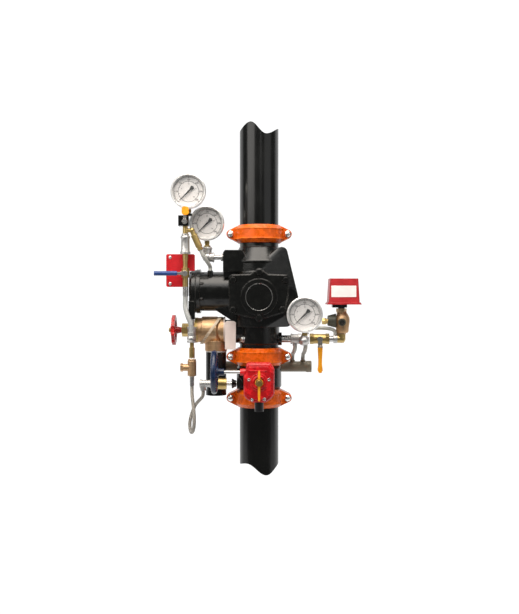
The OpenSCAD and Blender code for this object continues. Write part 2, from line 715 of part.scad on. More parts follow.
// Outline of the gearbox from the front: broad shoulders over a tapering foot
module gearbox_outline(inset = 0) {
    i = inset;
    polygon([[case_left + i, stem_z - 20 + i], [case_left + i, stem_z + 42 - i],
        [case_left + 12 + i, stem_z + 51 - i], [case_right - 18 - i, stem_z + 51 - i],
        [case_right - i, stem_z + 34 - i], [case_right - i, stem_z - 14 + i],
        [26 - i, stem_z - 40 + i], [16 - i, stem_z - 57 + i], [-16 + i, stem_z - 57 + i],
        [-28 + i, stem_z - 40 + i]]);
}
gearbox_screw_at = [[-28, 8], [27, 8], [-19.5, -47.5], [15, -46]];
module gearbox_case() {
    color("#b3141c") difference() {
        union() {
            xz(case_front_y, -gearbox_y) gearbox_outline();
            xcyl(case_left - 8, case_left + 10, 9.5, worm_y, worm_z);
        }
        ycyl(-gearbox_y - 20, -gearbox_y + 1, stem_r + running, 0, stem_z);
        ycyl(case_front_y - 1, -gearbox_y - 12, 27, 0, stem_z);
        translate([-27, case_front_y - 1, worm_z - 12]) cube([50, case_deep - 11, 24]);
        xcyl(case_left - 9, case_left + 30, worm_shaft_r + running, worm_y, worm_z);
        for (p = gearbox_screw_at) ycyl(case_front_y - 1, case_front_y + 16, 2.5, p[0], stem_z + p[1]);
    }
}
module gearbox_cover() {
    y0 = case_front_y;
    color("#b3141c") difference() {
        union() {
            xz(y0 - gear_cover_t + 5, y0) gearbox_outline(5);
            xz(y0 - gear_cover_t, y0 - gear_cover_t + 5) gearbox_outline(8);
            ycyl(y0 - gear_cover_t - 4, y0 - gear_cover_t, 19.5, 0, stem_z);
        }
        ycyl(y0 - gear_cover_t - 5, y0 - gear_cover_t, 14, 0, stem_z);
        ycyl(y0 - gear_cover_t - 10, y0 + 1, stem_r + running, 0, stem_z);
        for (p = gearbox_screw_at) {
            ycyl(y0 - 30, y0 + 1, 2.5, p[0], stem_z + p[1]);
            ycyl(y0 - 30, y0 - gear_cover_t + 4, 5, p[0], stem_z + p[1]);
        }
    }
}
module gearbox_screws() {
    y0 = case_front_y - gear_cover_t + 4;
    color("#d9d4c8") for (p = gearbox_screw_at) difference() {
        union() {
            ycyl(y0, case_front_y + 14, 2.5, p[0], stem_z + p[1]);
            ycyl(y0 - 5, y0, 4.5, p[0], stem_z + p[1]);
        }
        ycyl(y0 - 6, y0 - 2, hex(4), p[0], stem_z + p[1], sides = 6);
    }
}
// Worm wheel on the stem. A tooth stands at the top, between two turns of the worm.
module worm_wheel() {
    step = 360 / wheel_teeth;
    tip_r = pitch_r + wheel_module * 0.9;
    root_r = pitch_r - wheel_module * 1.2;
    tip = 9;
    foot = 26;
    color("#c08a35") translate([0, worm_y, stem_z]) difference() {
        xz(-2.5, 2.5) polygon([for (k = [0:wheel_teeth - 1], c = [[root_r, -foot], [tip_r, -tip],
            [tip_r, tip], [root_r, foot]])
            let (a = 90 - step * k - c[1] * step / 72) [c[0] * cos(a), c[0] * sin(a)]]);
        ycyl(-10, 10, stem_r);
    }
}
// Worm with its shaft: the thread is one lobe, twisted along the axis
module worm_shaft() {
    tip_r = worm_pitch_r + wheel_module * 0.9;
    root_r = worm_pitch_r - wheel_module * 1.2;
    turns = 2.6;
    len = turns * worm_lead;
    color("#a8acb0") translate([0, worm_y, worm_z]) {
        translate([-len / 2, 0, 0]) rotate([0, 90, 0]) rotate([0, 0, worm_phase])
            linear_extrude(len, twist = -360 * turns, slices = 26)
                polygon([for (a = [-180:20:160])
                    let (r = abs(a) < 38 ? tip_r : abs(a) > 88 ? root_r :
                        tip_r - (tip_r - root_r) * (abs(a) - 38) / 50)
                    [r * cos(a), r * sin(a)]]);
        xcyl(blue_wheel_x - 4, -len / 2 + 1, worm_shaft_r);
    }
}
worm_phase = 90;
module gearbox_handwheel() {
    x = blue_wheel_x;
    r = blue_wheel_d / 2;
    color("#16418f") translate([0, worm_y, worm_z]) {
        difference() {
            union() {
                translate([x, 0, 0]) rotate([0, 90, 0]) rotate_extrude() translate([r - 8.5, 0]) circle(8.5);
                xcyl(x - 4, x + 27.6, 10);
                xcyl(x - 4, x + 10, 15);
                for (a = [0, 120, 240]) rotate([a, 0, 0]) translate([x - 3.5, -8, 0]) cube([7, 16, r - 8.5]);
            }
            xcyl(x - 10, x + 40, worm_shaft_r);
        }
    }
}
module position_pointer() {
    y0 = cover_front_y - 5;
    color("#f2c11d") translate([0, 0, stem_z]) {
        ycyl(y0 - 4, y0, 11);
        xz(y0 - 7, y0 - 4) polygon([[-2.8, -50], [2.8, -50], [3.4, -8], [3.4, 8], [2.8, 31],
            [0, 35], [-2.8, 31], [-3.4, 8], [-3.4, -8]]);
        ycyl(y0 - 14, y0 - 4, hex(13), sides = 6);
    }
}

// Angle valve: inlet from the right, outlet down, with the bonnet on the left
module drain_valve_body() {
    color("#b0713a") difference() {
        union() {
            hull() {
                xcyl(-drain_body_x1 + 12, -drain_x + 2, 40, 0, drain_z, sides = 32);
                zcyl(drain_z - 33, drain_z + 33, 24, -drain_x, sides = 32);
            }
            xcyl(-drain_body_x1, -drain_body_x1 + 14, 36, 0, drain_z);
            xcyl(-drain_body_x0 - 14, -drain_body_x0, 38, 0, drain_z);
            xcyl(-drain_x, -drain_body_x0, 34, 0, drain_z);
            zcyl(drain_z - 44, drain_z - 31, 33, -drain_x);
            zcyl(drain_socket_z, drain_z - 40, drain_r + 2.4, -drain_x);
        }
        xcyl(-drain_seat_x - 6, -drain_body_x0 + 1, drain_r - 6, 0, drain_z);
        xcyl(-drain_body_x0 - 10, -drain_body_x0 + 1, drain_r, 0, drain_z);
        difference() {
            xcyl(-103.5, -99.9, 39.5, 0, drain_z);
            xcyl(-104, -99, 38, 0, drain_z);
        }
        xcyl(-drain_body_x1 - 1, -drain_seat_x - 4, 30, 0, drain_z);
        zcyl(drain_socket_z - 1, drain_z, 25, -drain_x);
        zcyl(drain_socket_z - 1, drain_socket_z + 16, drain_r, -drain_x);
    }
}
module drain_bonnet() {
    color("#b88a3a") difference() {
        union() {
            xcyl(-drain_body_x1 - 7, -drain_body_x1 + 8, 30, 0, drain_z);
            xcyl(-drain_body_x1 - 9, -drain_body_x1, 37, 0, drain_z);
            xcyl(-bonnet_x + 20, -drain_body_x1 - 9, 20, 0, drain_z);
            xcyl(-bonnet_x, -bonnet_x + 20, hex(34), 0, drain_z, sides = 6);
        }
        xcyl(-bonnet_x - 1, -drain_body_x1 + 9, 7 + running, 0, drain_z);
        xcyl(-drain_body_x1 - 6, -drain_body_x1 + 9, 18, 0, drain_z);
    }
}
module drain_stem() {
    color("#c4a048") {
        xcyl(-red_wheel_x - 10, -bonnet_x + 8, 5, 0, drain_z);
        xcyl(-bonnet_x + 8 - 0.1, -drain_seat_x - 22, 7, 0, drain_z);
        xcyl(-red_wheel_x - 15, -red_wheel_x - 10, hex(11), 0, drain_z, sides = 6);
    }
}
// Disc on the end of the stem, closed on its seat
module drain_disc() {
    x0 = -drain_seat_x - 4 - near;
    color("#96703a") difference() {
        union() {
            xcyl(x0 - 9, x0, 28, 0, drain_z);
            xcyl(x0 - 26, x0 - 8, 12, 0, drain_z);
        }
        xcyl(x0 - 27, -drain_seat_x - 21.6, 7 + running, 0, drain_z);
    }
}
// Handwheel: a scalloped rim on five spokes, with a long hub
module drain_handwheel() {
    r = red_wheel_d / 2;
    lobes = 10;
    color("#c4161c") translate([-red_wheel_x, 0, drain_z]) rotate([0, 90, 0]) difference() {
        union() {
            translate([0, 0, -5]) linear_extrude(10) difference() {
                union() {
                    circle(r - 3);
                    for (k = [0:lobes - 1]) rotate(360 / lobes * k) translate([r - 9, 0]) circle(9);
                }
                circle(r - 14);
            }
            for (k = [0:4]) rotate(72 * k) translate([8, -5, -4]) cube([r - 20, 10, 5]);
            rotate_extrude() polygon([[0, -10], [12, -10], [12, 3], [8, 22], [0, 22]]);
        }
        translate([0, 0, -12]) cylinder(h = 40, r = 5);
    }
}
module drain_pipe() {
    color("#131416") difference() {
        union() {
            zcyl(drain_end_z, drain_socket_z + 14, drain_r, -drain_x);
            ycyl(20, manifold_y - 4, manifold_d / 2, -drain_x, manifold_z);
        }
        zcyl(drain_end_z - 1, drain_socket_z + 15, drain_bore_r, -drain_x);
        ycyl(0, manifold_y - 3, manifold_d / 2 - 3.4, -drain_x, manifold_z);
        // Roll groove for the drain line's coupling
        difference() {
            zcyl(drain_end_z + 15.88, drain_end_z + 23.8, drain_r + 2, -drain_x);
            zcyl(drain_end_z + 15, drain_end_z + 25, drain_r - 1.6, -drain_x);
        }
    }
}
// Manifold behind the riser: an elbow at the drain pipe, a straight run and a cap
module drain_manifold() {
    r = manifold_d / 2;
    color("#77705e") difference() {
        union() {
            xcyl(-drain_x, manifold_end_x - 16, r, manifold_y, manifold_z);
            xcyl(manifold_end_x - 16, manifold_end_x, r + 1.5, manifold_y, manifold_z);
            translate([-drain_x, manifold_y, manifold_z]) rotate([0, 0, 135]) sphere(r + 4);
            ycyl(manifold_y - 20, manifold_y, r + 3, -drain_x, manifold_z);
            xcyl(-drain_x, -drain_x + 24, r + 2.5, manifold_y, manifold_z);
            for (x = [102, 134]) zcyl(manifold_z, trim_z - 70, 8, x, manifold_y);
        }
        xcyl(-drain_x - 7, manifold_end_x - 5, r - 3.4, manifold_y, manifold_z);
        ycyl(manifold_y - 21, manifold_y - 4, r, -drain_x, manifold_z);
        ycyl(manifold_y - 21, manifold_y + 2, r - 4.4, -drain_x, manifold_z);
    }
}
// Strap round the drain valve's neck, and the blank tag that hangs from it
module hang_tag() {
    tag_y = -43;
    color("#e6d3c8") {
        xz(tag_y - 1, tag_y) polygon([[-99, 352], [-67, 352], [-67, 410], [-73, 415],
            [-93, 415], [-99, 410]]);
        difference() {
            xcyl(-103.2, -100.2, 39.2, 0, drain_z);
            xcyl(-104, -99, 38, 0, drain_z);
        }
        ycyl(tag_y, -34.5, 1.4, -101.7, drain_z + 18);
        xcyl(-101.7, -94, 1.4, tag_y + 1, drain_z + 18);
    }
}

module strainer_body() {
    color("#b07c3c") difference() {
        union() {
            zcyl(262, 300, 12.5, -strainer_x, strainer_y);
            zcyl(257, 262, hex(22), -strainer_x, strainer_y, sides = 6);
            zcyl(300, 305, hex(20), -strainer_x, strainer_y, sides = 6);
            xcyl(-strainer_x - 26, -strainer_x, 10, strainer_y, 281);
            xcyl(-strainer_x - 33, -strainer_x - 26, hex(21), strainer_y, 281, sides = 6);
        }
        zcyl(266, 297, 9, -strainer_x, strainer_y);
        xcyl(-strainer_x - 24, -strainer_x, 7.5, strainer_y, 281);
    }
}
module strainer_screen() {
    color("#c5c8ca") difference() {
        xcyl(-strainer_x - 24, -strainer_x + 4, 6.2, strainer_y, 281);
        xcyl(-strainer_x - 23, -strainer_x + 5, 5.4, strainer_y, 281);
    }
}
module loop_hose() {
    color("#9c9c94") sweep(loop_route, loop_hose_d / 2);
}
module chamber_hose() {
    color("#8d8f8c") sweep(chamber_route, chamber_hose_d / 2);
}

module station_plate() {
    color("#c01a22") difference() {
        xz(plate_y - 1.5, plate_y + 1.5) translate([-plate_x, plate_z]) round_rect(plate_w, plate_h, 5);
        translate([-barrel_x - cover_t - 2, plate_y - 5, 400]) cube([60, 10, rod_z + barrel_r + 1 - 400]);
        for (z = [-1, 1]) ycyl(-60, 0, 3.2, -plate_x - 30, plate_z + z * 38);
    }
}
module station_valve() {
    color("#c0a05a") {
        zcyl(560, 568, hex(20), -station_x, station_y, sides = 6);
        zcyl(543, 561, 12, -station_x, station_y);
        zcyl(540, 544, hex(20), -station_x, station_y, sides = 6);
        ycyl(station_y - 15, station_y, 7, -station_x, station_ball_z);
        ycyl(station_y, plate_y - 1.5, 6, -station_x, station_ball_z);
    }
}
// Ball valve lever: a hub on the stem, a steel neck and a sleeved grip
module station_handle() {
    y = station_y - 15 - near;
    color("#1d4a9c") translate([-station_x, y, station_ball_z]) {
        ycyl(-6, 0, 8);
        xz(-5, -2) polygon([[0, -5], [-24, -3.5], [-24, 3.5], [0, 5]]);
        xcyl(-87, -22, 6.5, -7.5, 0);
    }
}

module gauge_cock() {
    color("#141516") {
        translate([-231, station_y - 15, 688]) cube([29, 30, cock_top - 694]);
        zcyl(cock_top - 7, cock_top, hex(17), upper_gauge_x, station_y, sides = 6);
        ycyl(station_y - 19, station_y - 15, 8, -station_x, cock_z);
    }
}
module gauge_cock_handle() {
    y = station_y - 19 - near;
    color("#f2a900") translate([-station_x, y, cock_z]) {
        ycyl(-5, 0, 7.5);
        xz(-4.5, -1.5) polygon([[-4, 0], [4, 0], [5.5, 22], [-2.5, 22]]);
        xz(-8, 0) translate([2, 30]) round_rect(20, 24, 7);
    }
}

// Gauges: place and depth of each
gauges = [[upper_gauge_x, upper_gauge_y, upper_gauge_z], [middle_gauge_x, gauge_y, middle_gauge_z],
    [lower_gauge_x, lower_gauge_y, lower_gauge_z]];
gauge_r = gauge_d / 2;
module gauge_case(stem) {
    difference() {
        union() {
            translate([0, 0, 0]) rotate([-90, 0, 0]) rotate_extrude() polygon([[0, 0],
                [gauge_r - 2.5, 0], [gauge_r, 2.5], [gauge_r, 8], [gauge_r - 3, 10],
                [gauge_r - 3, gauge_deep - 4], [gauge_r - 7, gauge_deep], [0, gauge_deep]]);
            translate([-7, 12, -gauge_r - min(8, stem - 1)]) cube([14, 14, 20]);
            zcyl(-gauge_r - stem, -gauge_r, 6.5, 0, 19);
        }
        ycyl(-1, 3.5, gauge_r - 5);
        ycyl(-1, 14, gauge_r - 7);
    }
}
module gauge_cases() {
    stems = [upper_gauge_z - gauge_r - cock_top, middle_gauge_rise - gauge_r - 34.7,
        lower_gauge_z - gauge_r - trim_z - 17.6];
    color("#c8cbce") for (k = [0:2]) translate(gauges[k]) gauge_case(stems[k]);
}
module gauge_dials() {
    color("#e4e4e0") for (g = gauges) translate(g) difference() {
        ycyl(13, 14, gauge_r - 7);
        ycyl(12, 15, 1.5);
    }
}
module gauge_lenses() {
    color("#dfe7ea") for (g = gauges) translate(g) ycyl(1, 3.5, gauge_r - 5);
}
// Pointer at zero, low on the left, with a broad tail
module gauge_pointer() {
    color("#1a1a1a") {
        rotate([0, -45, 0]) xz(8, 9) polygon([[-31, -0.7], [-31, 0.7], [-4, 2], [6, 2.2],
            [17, 6.5], [20, 0], [17, -6.5], [6, -2.2], [-4, -2]]);
        ycyl(7, 11, 2.6);
        ycyl(10, 13.6, 1.5 - running);
    }
}
module gauge_pointer_upper() { translate(gauges[0]) gauge_pointer(); }
module gauge_pointer_middle() { translate(gauges[1]) gauge_pointer(); }
module gauge_pointer_lower() { translate(gauges[2]) gauge_pointer(); }

module alarm_valve() {
    x = alarm_ball_x;
    color("#b28f3e") {
        xcyl(x - 28.7, x - 18, hex(27), 0, trim_z, sides = 6);
        xcyl(x - 18, x + 18, 14.5, 0, trim_z);
        xcyl(x + 18, x + 28.3, hex(27), 0, trim_z, sides = 6);
        ycyl(-20, 0, 8, x, trim_z);
    }
}
module alarm_handle() {
    l = alarm_lever;
    color("#e79a12") translate([alarm_ball_x, -20 - near, trim_z]) {
        ycyl(-5, 0, 8.5);
        xz(-4, -1) polygon([[-6.5, 2], [6.5, 2], [6.5, -22], [-6.5, -22]]);
        xz(-7, 1) polygon([[-7.5, -20], [7.5, -20], [5.5, -60], [5.5, -74], [7.5, 8 - l],
            [3.5, -l], [-3.5, -l], [-7.5, 8 - l], [-5.5, -74], [-5.5, -60]]);
    }
}
// Bronze check body: a vertical barrel with a bell on its left side and a port in front
module alarm_check() {
    x = alarm_check_x;
    z = 374.7;
    color("#b9783f") difference() {
        union() {
            zcyl(z, z + 12, hex(24), x, 0, sides = 6);
            zcyl(z + 12, z + 30, 16, x, 0);
            translate([x, 0, z + 40]) sphere(21);
            zcyl(z + 50, z + 66, 14, x, 0);
            zcyl(z + 66, z + 76, hex(27), x, 0, sides = 6);
            translate([x - 40.5, 0, z + 40]) rotate([0, 90, 0]) cylinder(h = 24, r1 = 15, r2 = 21);
            xcyl(x + 10, x + 23, hex(20), 0, z + 40, sides = 6);
            ycyl(-26, 0, 11, x, z + 36);
        }
        ycyl(-27, -18, hex(12), x, z + 36, sides = 6);
    }
}
module switch_base() {
    x = switch_x;
    z = switch_z;
    color("#161616") {
        zcyl(z - 11.8, z - 9, 10, alarm_check_x, 0);
        xy(z - 9, z) translate([alarm_check_x - 6, 0]) round_rect(43, 43, 6);
    }
    color("#8e1218") xy(z, z + 3) translate([x, 0]) round_rect(switch_w + 9.6, switch_deep + 8, 5);
}
module switch_cover() {
    w = switch_w;
    d = switch_deep;
    z = switch_z + 3;
    color("#b51a1f") translate([switch_x, 0, z]) difference() {
        union() {
            hull() {
                xy(0, 2) round_rect(w, d, 5);
                xy(switch_h + 3, switch_h + 5) round_rect(w - 8, d - 8, 4);
            }
            xy(0, 3) round_rect(w + 6, d + 5, 5);
        }
        hull() {
            xy(-1, 1) round_rect(w - 5, d - 5, 3);
            xy(switch_h, switch_h + 2) round_rect(w - 12, d - 12, 3);
        }
    }
}
module drip_tubes() {
    color("#9b9d98") {
        sweep(drip_route_a, 4.4);
        sweep(drip_route_b, 4.4);
        sweep(arch_route, 4.4, side = [0, 1, 0]);
        sweep(tube_c_route, 5.5, side = [0, 1, 0]);
    }
}

// Tees, elbows and crosses of galvanized iron
module galvanized_fittings() {
    sx = -station_x;
    tx = -strainer_x;
    mx = middle_gauge_x;
    gx = lower_gauge_x;
    gy = lower_gauge_y + 19;
    color("#b9bdc0") {
        union() {
            band_x(93, 119, 15.5, 0, trim_z);
            band_x(119, 147, 15.5, 0, trim_z);
            zcyl(trim_z - 20, trim_z, 7, 106, 0);
            zcyl(trim_z - 20, trim_z, 7, 137, 0);
            zcyl(trim_z, trim_z + 18, 7, 140, 0);
            ycyl(-20, 0, 11, gx, trim_z);
        }
        union() {
            translate([gx, gy, trim_z]) sphere(13);
            ycyl(gy, gy + 18, 12, gx, trim_z);
            zcyl(trim_z, trim_z + 13.6, 9, gx, gy);
        }
        union() {
            band_x(219.7, 230.2, 13.3, 0, trim_z);
            zcyl(trim_z + 10, trim_z + 13.5, 4.8, 224.5, 0);
        }
        union() {
            band_z(615, 666, 10.5, sx, station_y);
            zcyl(608.9, 615, 15, sx, station_y);
        }
        union() {
            band_z(353, 398, 14, tx, strainer_y);
            ycyl(strainer_y - 24, strainer_y, 11, tx, 366);
            translate([tx, strainer_y - 24, 366]) sphere(12);
            zcyl(366, 384, 10, tx, strainer_y - 24);
        }
        union() {
            band_x(-172, -138, 12, supply_y, supply_z);
            zcyl(supply_z - 20, supply_z, 8.5, -162, supply_y);
        }
        union() {
            zcyl(middle_port_z, middle_port_z + 22.7, 12, mx, middle_port_y);
            zcyl(middle_port_z + 16.7, middle_port_z + 30.7, 13.5, mx, middle_port_y);
            translate([mx, middle_port_y, middle_port_z]) sphere(13);
            xcyl(mx, mx + 18, 11.5, middle_port_y, middle_port_z);
        }
    }
}
module brass_fittings() {
    sx = -station_x;
    tx = -strainer_x;
    gy = lower_gauge_y + 19;
    color("#b89548") {
        zcyl(trim_z + 13.6, trim_z + 17.6, hex(15), lower_gauge_x, gy, sides = 6);
        zcyl(middle_port_z + 30.7, middle_port_z + 34.7, hex(17), middle_gauge_x, middle_port_y, sides = 6);
        zcyl(568, 588, 7, sx, station_y);
        zcyl(588, 608.9, 8, sx, station_y);
        zcyl(514, 540, 8, sx, station_y);
        union() {
            zcyl(666, 688, 7.5, sx, station_y);
            xcyl(sx, sx + 19, 6, station_y, 676);
            translate([sx + 19, station_y, 676]) {
                sphere(8);
                rotate([0, 156, 0]) cylinder(h = 54, r = 7);
                rotate([0, 156, 0]) translate([0, 0, 14]) cylinder(h = 38, r = 9.5);
                rotate([0, 156, 0]) translate([0, 0, 54]) cylinder(h = 8, r = hex(14), $fn = 6);
            }
        }
        zcyl(338, 353, 6, tx, strainer_y);
        zcyl(305, 338, 8.2, tx, strainer_y);
        xcyl(-138, -94, 16.5, supply_y, supply_z);
        union() {
            xcyl(230.2, 250, 12, 0, trim_z);
            zcyl(trim_z, 374.7, 12.5, alarm_check_x, 0);
            translate([alarm_check_x, 0, trim_z]) sphere(12.5);
        }
    }
}
module steel_nipples() {
    sx = -station_x;
    tx = -strainer_x;
    color("#8c8f92") {
        xcyl(56, 93, 10.65, 0, trim_z);
        xcyl(207, 219.7, 9, 0, trim_z);
        ycyl(lower_gauge_y + 37, -20, 8, lower_gauge_x, trim_z);
        xcyl(middle_gauge_x + 18, -94, 6.85, middle_port_y, middle_port_z);
        zcyl(488, 514, 8, sx, station_y);
        zcyl(398, port_z + 10, 6.85, tx, strainer_y);
        zcyl(228, 257, 6.5, tx, strainer_y);
        xcyl(-94, -64.5, 6, supply_y, supply_z);
        xcyl(-drain_body_x0 - 10, -drain_boss_x + 12, drain_r, 0, drain_z);
        zcyl(166, 192, 12.5, 0, worm_y);
    }
}

riser_lower();
riser_upper();
coupling_front_halves();
coupling_rear_halves();
rubber_gaskets();
coupling_bolts();
valve_body();
access_cover();
housing_bolts();
nameplate();
seat_ring();
clapper();
clapper_facing();
pivot_pins();
latch_lever();
push_rod();
diaphragm();
chamber_cover();
butterfly_body();
butterfly_disc();
butterfly_stem();
gearbox_case();
gearbox_cover();
gearbox_screws();
worm_wheel();
worm_shaft();
gearbox_handwheel();
position_pointer();
drain_valve_body();
drain_bonnet();
drain_stem();
drain_disc();
drain_handwheel();
drain_pipe();
drain_manifold();
hang_tag();
strainer_body();
strainer_screen();
loop_hose();
chamber_hose();
station_plate();
station_valve();
station_handle();
gauge_cock();
gauge_cock_handle();
gauge_cases();
gauge_dials();
gauge_lenses();
gauge_pointer_upper();
gauge_pointer_middle();
gauge_pointer_lower();
alarm_valve();
alarm_handle();
alarm_check();
switch_base();
switch_cover();
drip_tubes();
galvanized_fittings();
brass_fittings();
steel_nipples();
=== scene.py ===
# %% [markdown]
# A deluge valve riser for a sprinkler system: black iron, orange couplings, a red gearbox and
# trim of brass, bronze and galvanized iron. The solids come from the CAD model, and this lesson
# gives them their finishes, then adds what is too fine or too soft for a solid.
# Everything is in metres in the CAD's own frame, so no piece has to be fitted by eye.

# %% Load the frame
import math

import bmesh
import bpy
from mathutils import Matrix, Vector


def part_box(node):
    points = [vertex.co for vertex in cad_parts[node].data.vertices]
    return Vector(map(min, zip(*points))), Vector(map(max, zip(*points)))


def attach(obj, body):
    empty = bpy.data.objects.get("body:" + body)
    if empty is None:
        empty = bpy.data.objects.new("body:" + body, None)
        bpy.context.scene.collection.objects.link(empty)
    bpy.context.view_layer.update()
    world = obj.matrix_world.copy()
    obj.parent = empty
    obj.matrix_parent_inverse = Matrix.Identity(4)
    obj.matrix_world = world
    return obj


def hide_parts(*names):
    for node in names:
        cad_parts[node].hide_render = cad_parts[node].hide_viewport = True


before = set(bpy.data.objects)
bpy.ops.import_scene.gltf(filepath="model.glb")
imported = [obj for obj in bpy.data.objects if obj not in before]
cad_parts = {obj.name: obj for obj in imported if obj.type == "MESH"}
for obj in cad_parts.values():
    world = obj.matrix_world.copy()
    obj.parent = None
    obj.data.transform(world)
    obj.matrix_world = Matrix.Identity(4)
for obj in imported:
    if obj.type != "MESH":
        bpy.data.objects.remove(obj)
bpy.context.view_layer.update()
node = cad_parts

# %% [markdown]
# The camera comes first, because the hoses are measured against what it sees. A riser is
# photographed square on, so the camera stands level with the middle of the valve, 2.4 m away,
# and leans down by less than a degree. The lens follows from the size of the pipe in the frame.

# %% Camera
MM = 0.001
CAMERA_AWAY = 2.4
CAMERA_HEIGHT = 0.4905
cam = bpy.data.objects.new("camera", bpy.data.cameras.new("camera"))
bpy.context.scene.collection.objects.link(cam)
cam.location = (0.0012, -CAMERA_AWAY, CAMERA_HEIGHT)
cam.rotation_euler = (math.radians(90 - 0.85), 0, 0)
cam.data.sensor_fit = "VERTICAL"
cam.data.sensor_height = 36
cam.data.lens = 47.65
cam.data.clip_end = 50
bpy.context.scene.camera = cam
print("camera at", tuple(cam.location))

# %% [markdown]
# A finish is a sum in which most terms are textures. Writing it as sums in Python is far easier
# to read than wiring boxes, so one small class wraps a socket: plus, minus, times and power add
# the Math nodes, and node() adds any other kind. Settings such as a ramp's stops are set before
# the sockets, because some sockets exist only after their setting.

# %% Shader sums
class Wire:
    """An output socket of a node tree that Python can calculate with."""

    def __init__(self, tree, socket=None):
        self.tree, self.socket = tree, socket

    def node(self, kind, settings=None, sockets=None, out=0):
        made = self.tree.nodes.new("ShaderNode" + kind)
        for key, value in (settings or {}).items():
            if key == "stops":
                ramp = made.color_ramp
                while len(ramp.elements) < len(value):
                    ramp.elements.new(0.5)
                for stop, (at, shade) in zip(ramp.elements, value):
                    stop.position, stop.color = at, (shade, shade, shade, 1)
            else:
                setattr(made, key, value)
        for key, value in (sockets or {}).items():
            if isinstance(value, Wire):
                self.tree.links.new(value.socket, made.inputs[key])
            else:
                made.inputs[key].default_value = value
        return Wire(self.tree, made.outputs[out] if made.outputs else None)

    def math(self, operation, a, b=0.0, clamp=False):
        return self.node("Math", {"operation": operation, "use_clamp": clamp}, {0: a, 1: b})

    def __add__(self, other): return self.math("ADD", self, other)
    def __radd__(self, other): return self.math("ADD", other, self)
    def __sub__(self, other): return self.math("SUBTRACT", self, other)
    def __rsub__(self, other): return self.math("SUBTRACT", other, self)
    def __mul__(self, other): return self.math("MULTIPLY", self, other)
    def __rmul__(self, other): return self.math("MULTIPLY", other, self)
    def __pow__(self, other): return self.math("POWER", self, other)

    def clip(self): return self.math("ADD", self, 0.0, clamp=True)
    def sine(self): return self.math("SINE", self)

    def between(self, low, high):
        """0 below low, 1 above high, and a soft step between them."""
        return self.node("MapRange", {"interpolation_type": "SMOOTHSTEP"},
                         {"Value": self, "From Min": low, "From Max": high})

    def tint(self, first, second):
        """Mixes two colours, first where this is 0 and second where it is 1."""
        wide = lambda c: c if isinstance(c, Wire) else (*c, 1)
        return self.node("Mix", {"data_type": "RGBA"}, {0: self, 6: wide(first), 7: wide(second)}, out=2)


def start(name):
    """A material with an empty tree, and a Wire to build with."""
    mat = bpy.data.materials.new(name)
    mat.use_nodes = True
    mat.node_tree.nodes.clear()
    return mat, Wire(mat.node_tree)


def place(w, name="Object"):
    """Where on the object a point is, in metres, or its UV."""
    outs = {"Generated": 0, "Normal": 1, "UV": 2, "Object": 3}
    return w.node("TexCoord", out=outs[name])


def axes(w, where=None):
    """The three coordinates of a place, each as a Wire."""
    split = w.node("SeparateXYZ", None, {0: where or place(w)})
    return [Wire(w.tree, out) for out in split.socket.node.outputs]


def noise(w, scale, detail=3.0, rough=0.55, where=None, stretch=(1, 1, 1)):
    spot = w.node("Mapping", None, {"Vector": where or place(w), "Scale": stretch})
    return w.node("TexNoise", None, {"Vector": spot, "Scale": scale, "Detail": detail, "Roughness": rough})


def shaded(colour, factor, lift=0.0):
    """A colour made darker or lighter in Python, never above white."""
    return tuple(min(1, c * factor + lift) for c in colour)


def finish(mat, w, colour, rough, metal=0.0, normal=None, **constants):
    """Ends a material in one Principled BSDF. Constants go straight onto its sockets."""
    sockets = {"Base Color": colour if isinstance(colour, Wire) else (*colour, 1),
               "Roughness": rough, "Metallic": metal}
    if normal is not None:
        sockets["Normal"] = normal
    sockets.update(constants)
    shader = w.node("BsdfPrincipled", None, sockets)
    w.node("OutputMaterial", None, {"Surface": shader})
    return mat

print("shader sums ready")

# %% [markdown]
# Cast iron under enamel: the mould's sand leaves a coarse, low grain that the paint softens but
# doesn't fill, and the paint itself dries with a fine orange peel. Both are bump. Real edges are
# never sharp, and a Bevel node rounds their shading without touching the CAD mesh. Where that
# rounded normal leaves the flat one there is an edge, and there the colour is lighter in patches:
# partly worn paint, partly a painted highlight along the edges.

# %% Enamel on castings
def edge_mask(w, radius, strength=6.0):
    """A rounded normal for sharp edges, and a mask that is 1 on them."""
    soft = w.node("Bevel", {"samples": 4}, {"Radius": radius})
    flat = w.node("NewGeometry", out=1)
    same = w.node("VectorMath", {"operation": "DOT_PRODUCT"}, {0: soft, 1: flat}, out=1)
    return soft, ((1 - same) * strength).clip()


def enamel(name, colour, worn_and_highlit, rough=0.28, sand=0.0006, edge=0.0016, wear_and_highlight=0.3, deep=0.8, **constants):
    mat, w = start(name)
    soft, edges = edge_mask(w, edge)
    patches = noise(w, 55, 4)
    grain = noise(w, 330, 4, 0.6)
    peel = noise(w, 900, 2)
    blotch = patches.between(0.42, 0.68)
    shade = blotch.tint(shaded(colour, deep), shaded(colour, 2.1 - deep))
    # Edges get a lighter colour in patches: partly worn paint, partly a painted highlight.
    rubbed_and_highlit = (edges * patches.between(0.3, 0.6)).clip()
    shade = (rubbed_and_highlit * wear_and_highlight).tint(shade, worn_and_highlit)
    bumps = w.node("Bump", None, {"Distance": sand, "Height": grain * 0.8 + peel * 0.2, "Normal": soft})
    return finish(mat, w, shade, rough + blotch * 0.10 + rubbed_and_highlit * 0.12, 0.0, bumps, **constants)
